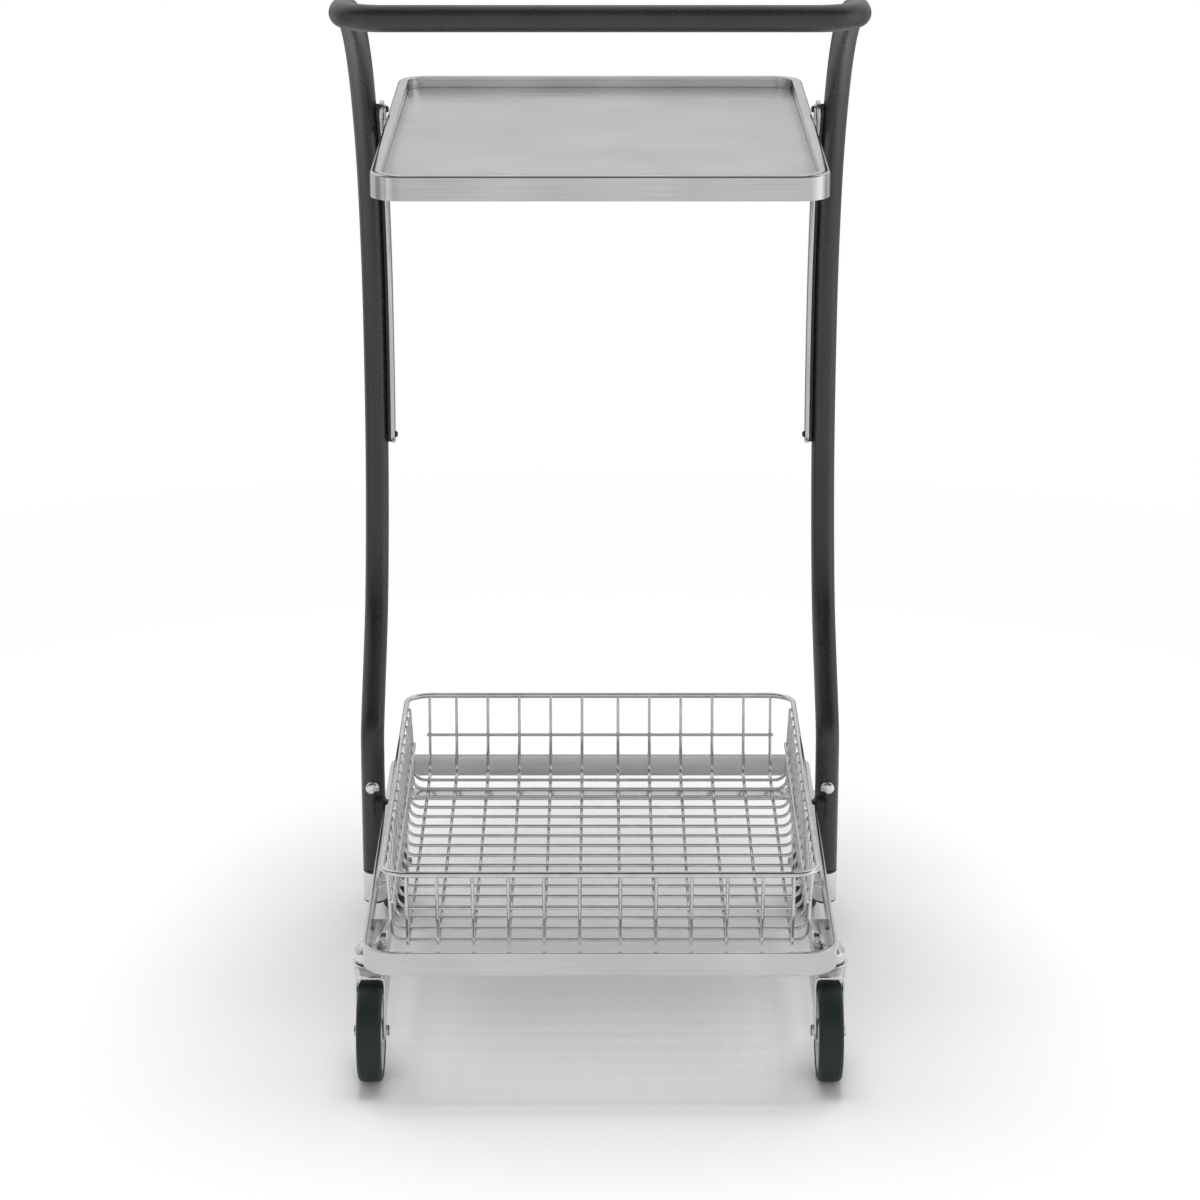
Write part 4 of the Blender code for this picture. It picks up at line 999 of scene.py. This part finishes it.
def make_basket():
    near, far = BASKET_Y[0] + BASKET_RIM_RADIUS, BASKET_Y[1] - BASKET_RIM_RADIUS
    tuck = BASKET_RIM_RADIUS + WIRE_RADIUS - 0.0006
    section = arc((BASKET_RIM_RADIUS, BASKET_RIM_Z), BASKET_RIM_RADIUS, 180, 180 - 345, 23)
    rim = hoop(BASKET_RIM_X + BASKET_RIM_RADIUS, BASKET_Y, BASKET_RIM_CORNER + BASKET_RIM_RADIUS,
               section)
    new_piece("basket_rim", rim, WIRE_CHROME, stands_for=["wire_basket"])
    foot_near, foot_far = BASKET_FOOT_Y
    top = BASKET_RIM_Z
    path = bent_wire((near + tuck, top), (foot_near, LOWER_WIRE_Z), (foot_far, LOWER_WIRE_Z),
                     (far - tuck, top))
    columns = [sign * x for x in FORE_AFT_WIRES_X for _, sign in SIDES]
    fore_aft = [sweep([(x, y, z) for y, z in path], WIRE_RADIUS) for x in columns]
    new_piece("basket_wires_fore_aft", join(*fore_aft), WIRE_CHROME)
    side_top, side_low = BASKET_RIM_X - tuck, BASKET_FOOT_X
    path = bent_wire((-side_top, top), (-side_low, UPPER_WIRE_Z), (side_low, UPPER_WIRE_Z),
                     (side_top, top))
    rows = [CROSS_WIRE_FIRST_Y + i * CROSS_WIRE_PITCH for i in range(CROSS_WIRE_COUNT)]
    across = [sweep([(x, y, z) for x, z in path], WIRE_RADIUS) for y in rows]
    new_piece("basket_wires_across", join(*across), WIRE_CHROME)
    lean = (MIDDLE_WIRE_Z - LOWER_WIRE_Z) / (BASKET_RIM_Z - LOWER_WIRE_Z)
    inside = 2 * WIRE_RADIUS - 0.0006
    end_x = FORE_AFT_WIRES_X[-1] + 0.003
    middles, spots = [], []
    for foot, rim_y, sign in ((foot_near, near + tuck, 1), (foot_far, far - tuck, -1)):
        y = foot + (rim_y - foot) * lean + sign * inside
        middles.append(sweep([(-end_x, y, MIDDLE_WIRE_Z), (end_x, y, MIDDLE_WIRE_Z)], WIRE_RADIUS))
        spots += [(x, y - sign * inside / 2, MIDDLE_WIRE_Z) for x in columns]
        spots += [(x, rim_y - sign * 0.0006, BASKET_RIM_Z - 0.0006) for x in columns]
    x_middle = side_low + (side_top - side_low) * lean - inside
    for _, sign in SIDES:
        x = sign * x_middle
        line = [(x, rows[0] - 0.003, MIDDLE_WIRE_Z), (x, rows[-1] + 0.003, MIDDLE_WIRE_Z)]
        middles.append(sweep(line, WIRE_RADIUS))
        spots += [(sign * (x_middle + inside / 2), y, MIDDLE_WIRE_Z) for y in rows]
        spots += [(sign * (side_top + 0.0006), y, BASKET_RIM_Z - 0.0006) for y in rows]
    new_piece("basket_wires_middle", join(*middles), WIRE_CHROME)
    level = (LOWER_WIRE_Z + UPPER_WIRE_Z) / 2
    spots += [(x, y, level) for x in columns for y in rows]
    nuggets = join(*[weld_spot(p, WIRE_RADIUS * 0.98) for p in spots])
    new_piece("basket_welds", nuggets, WIRE_CHROME)


# --- studio ---
# A colour ramp's levels stop at 1, so the levels below are divided by this and scaled up again.
BRIGHTEST = 3.0
# Light near the horizon by direction in degrees: 0 is the camera's side, 90 is +X.
AZIMUTH_LIGHT = ((-180, 0.95), (-150, 1.0), (-128, 0.75), (-117, 0.85), (-101, 0.42), (-88, 0.45),
                 (-72, 0.9), (-63, 0.65), (-54, 1.15), (-44, 1.0), (-28, 0.75), (0, 0.95), (46, 0.92),
                 (62, 1.15), (74, 1.45), (88, 1.6), (102, 1.1), (116, 0.5), (135, 0.7), (180, 0.95))
# Light over the arch from the camera's side (0) past the zenith (90) to the backdrop (180).
ARCH_LIGHT = ((-180, 0.22), (-139, 0.28), (-112, 0.55), (-97, 0.8), (-84, 1.15), (-65, 1.3),
              (-48, 1.15), (-30, 0.95), (0, 1.05), (18, 1.0), (27, 0.8), (37, 0.57), (46, 0.35),
              (56, 0.14), (66, 0.03), (80, 0.05), (89, 0.36), (101, 0.83), (132, 1.15), (157, 1.0),
              (172, 0.72), (180, 0.55))


def make_world():
    """White studio: pale floor and backdrop, dark above the camera, strips at the sides."""
    world = bpy.data.worlds.new("studio")
    SCENE.world = world
    world.use_nodes = True
    tree = world.node_tree
    place = node(tree, "ShaderNodeTexCoord").outputs["Generated"]
    split = node(tree, "ShaderNodeSeparateXYZ", {0: place}).outputs
    towards = maths(tree, "MULTIPLY", split["Y"], -1.0)
    angle = maths(tree, "ARCTAN2", split["X"], towards)
    arch = maths(tree, "ARCTAN2", split["Z"], towards)
    round_about = degree_ramp(tree, angle, AZIMUTH_LIGHT)
    over_head = degree_ramp(tree, arch, ARCH_LIGHT)
    steep = spread(tree, maths(tree, "ABSOLUTE", split["Z"]), 0, 1, 0.3, 0.55)
    behind = spread(tree, split["Y"], 0, 1, 0.75, 0.9)
    share = maths(tree, "MAXIMUM", steep, behind)
    light = node(tree, "ShaderNodeMix", {"Factor": share, "A": round_about, "B": over_head}).outputs[0]
    seen = node(tree, "ShaderNodeLightPath").outputs["Is Camera Ray"]
    strength = node(tree, "ShaderNodeMix", {"Factor": seen, "A": light, "B": 1.0}).outputs[0]
    back = tree.nodes["Background"]
    back.inputs["Color"].default_value = (1.0, 1.0, 1.0, 1.0)
    tree.links.new(strength, back.inputs["Strength"])


def degree_ramp(tree, angle, stops):
    """Piecewise curve of an angle, from (degrees, level) stops."""
    turn = spread(tree, angle, 0, 1, -math.pi, math.pi)
    made = node(tree, "ShaderNodeValToRGB", {0: turn})
    points = made.color_ramp.elements
    while len(points) < len(stops):
        points.new(0.5)
    for point, (degrees, level) in zip(points, stops):
        point.position = 0.5 + degrees / 360
        point.color = (*[level / BRIGHTEST] * 3, 1.0)
    return maths(tree, "MULTIPLY", made.outputs[0], BRIGHTEST)


def make_floor():
    """Pale floor that fades out into the white background and can be seen through from below."""
    bm = bmesh.new()
    bmesh.ops.create_circle(bm, cap_ends=True, segments=96, radius=3.0)
    data = bpy.data.meshes.new("studio_floor")
    bm.to_mesh(data)
    bm.free()
    floor = bpy.data.objects.new("studio_floor", data)
    SCENE.collection.objects.link(floor)
    tree, shader, material = new_material("studio_floor")
    data.materials.append(material)
    shader.inputs["Roughness"].default_value = 0.75
    shader.inputs["Base Color"].default_value = (0.95, 0.95, 0.95, 1.0)
    shader.inputs["Specular IOR Level"].default_value = 0.2
    place = node(tree, "ShaderNodeTexCoord").outputs["Object"]
    reach = node(tree, "ShaderNodeVectorMath", {0: place}, operation="LENGTH").outputs["Value"]
    fade = spread(tree, reach, 1.0, 0.0, 0.9, 1.9)
    below = node(tree, "ShaderNodeNewGeometry").outputs["Backfacing"]
    above = maths(tree, "SUBTRACT", 1.0, below)
    link(tree, shader, Alpha=maths(tree, "MULTIPLY", fade, above))


def add_area(name, place, aim, size, power):
    data = bpy.data.lights.new(name, "AREA")
    data.shape = "RECTANGLE"
    data.size, data.size_y = size
    data.energy = power
    obj = bpy.data.objects.new(name, data)
    SCENE.collection.objects.link(obj)
    obj.location = place
    obj.rotation_euler = (Vector(aim) - Vector(place)).to_track_quat("-Z", "Y").to_euler()
    obj.visible_glossy = False


CAMERA_PLACE = (0, -3.521, 1.523)
CAMERA_TILT = 17.76
CAMERA_LENS = 107.9


def make_camera():
    """Long lens from the user's side, tilted down at the middle of the trolley."""
    data = bpy.data.cameras.new("camera")
    data.lens = CAMERA_LENS
    data.sensor_width = 36
    data.clip_end = 50
    camera = bpy.data.objects.new("camera", data)
    SCENE.collection.objects.link(camera)
    camera.location = CAMERA_PLACE
    camera.rotation_euler = (math.radians(90 - CAMERA_TILT), 0, 0)
    SCENE.camera = camera


def main():
    make_push_frame()
    make_hoop()
    make_cross_bar()
    make_tray()
    make_basket()
    for side, sign in SIDES:
        for make in (make_foot, make_dome_bolt, make_side_bolt, make_saddle, make_peg, make_rail,
                     make_tray_bracket, make_near_caster, make_far_caster):
            make(side, sign)
    make_world()
    make_floor()
    make_camera()
    add_area("soft_overhead", (0.0, 0.1, 3.2), (0, 0, 0), (1.2, 1.2), 58)
    add_area("front_fill", (0.0, -3.0, 1.3), (0, 0, 0), (2.4, 1.0), 2)
    SCENE.view_settings.view_transform = "Standard"


main()
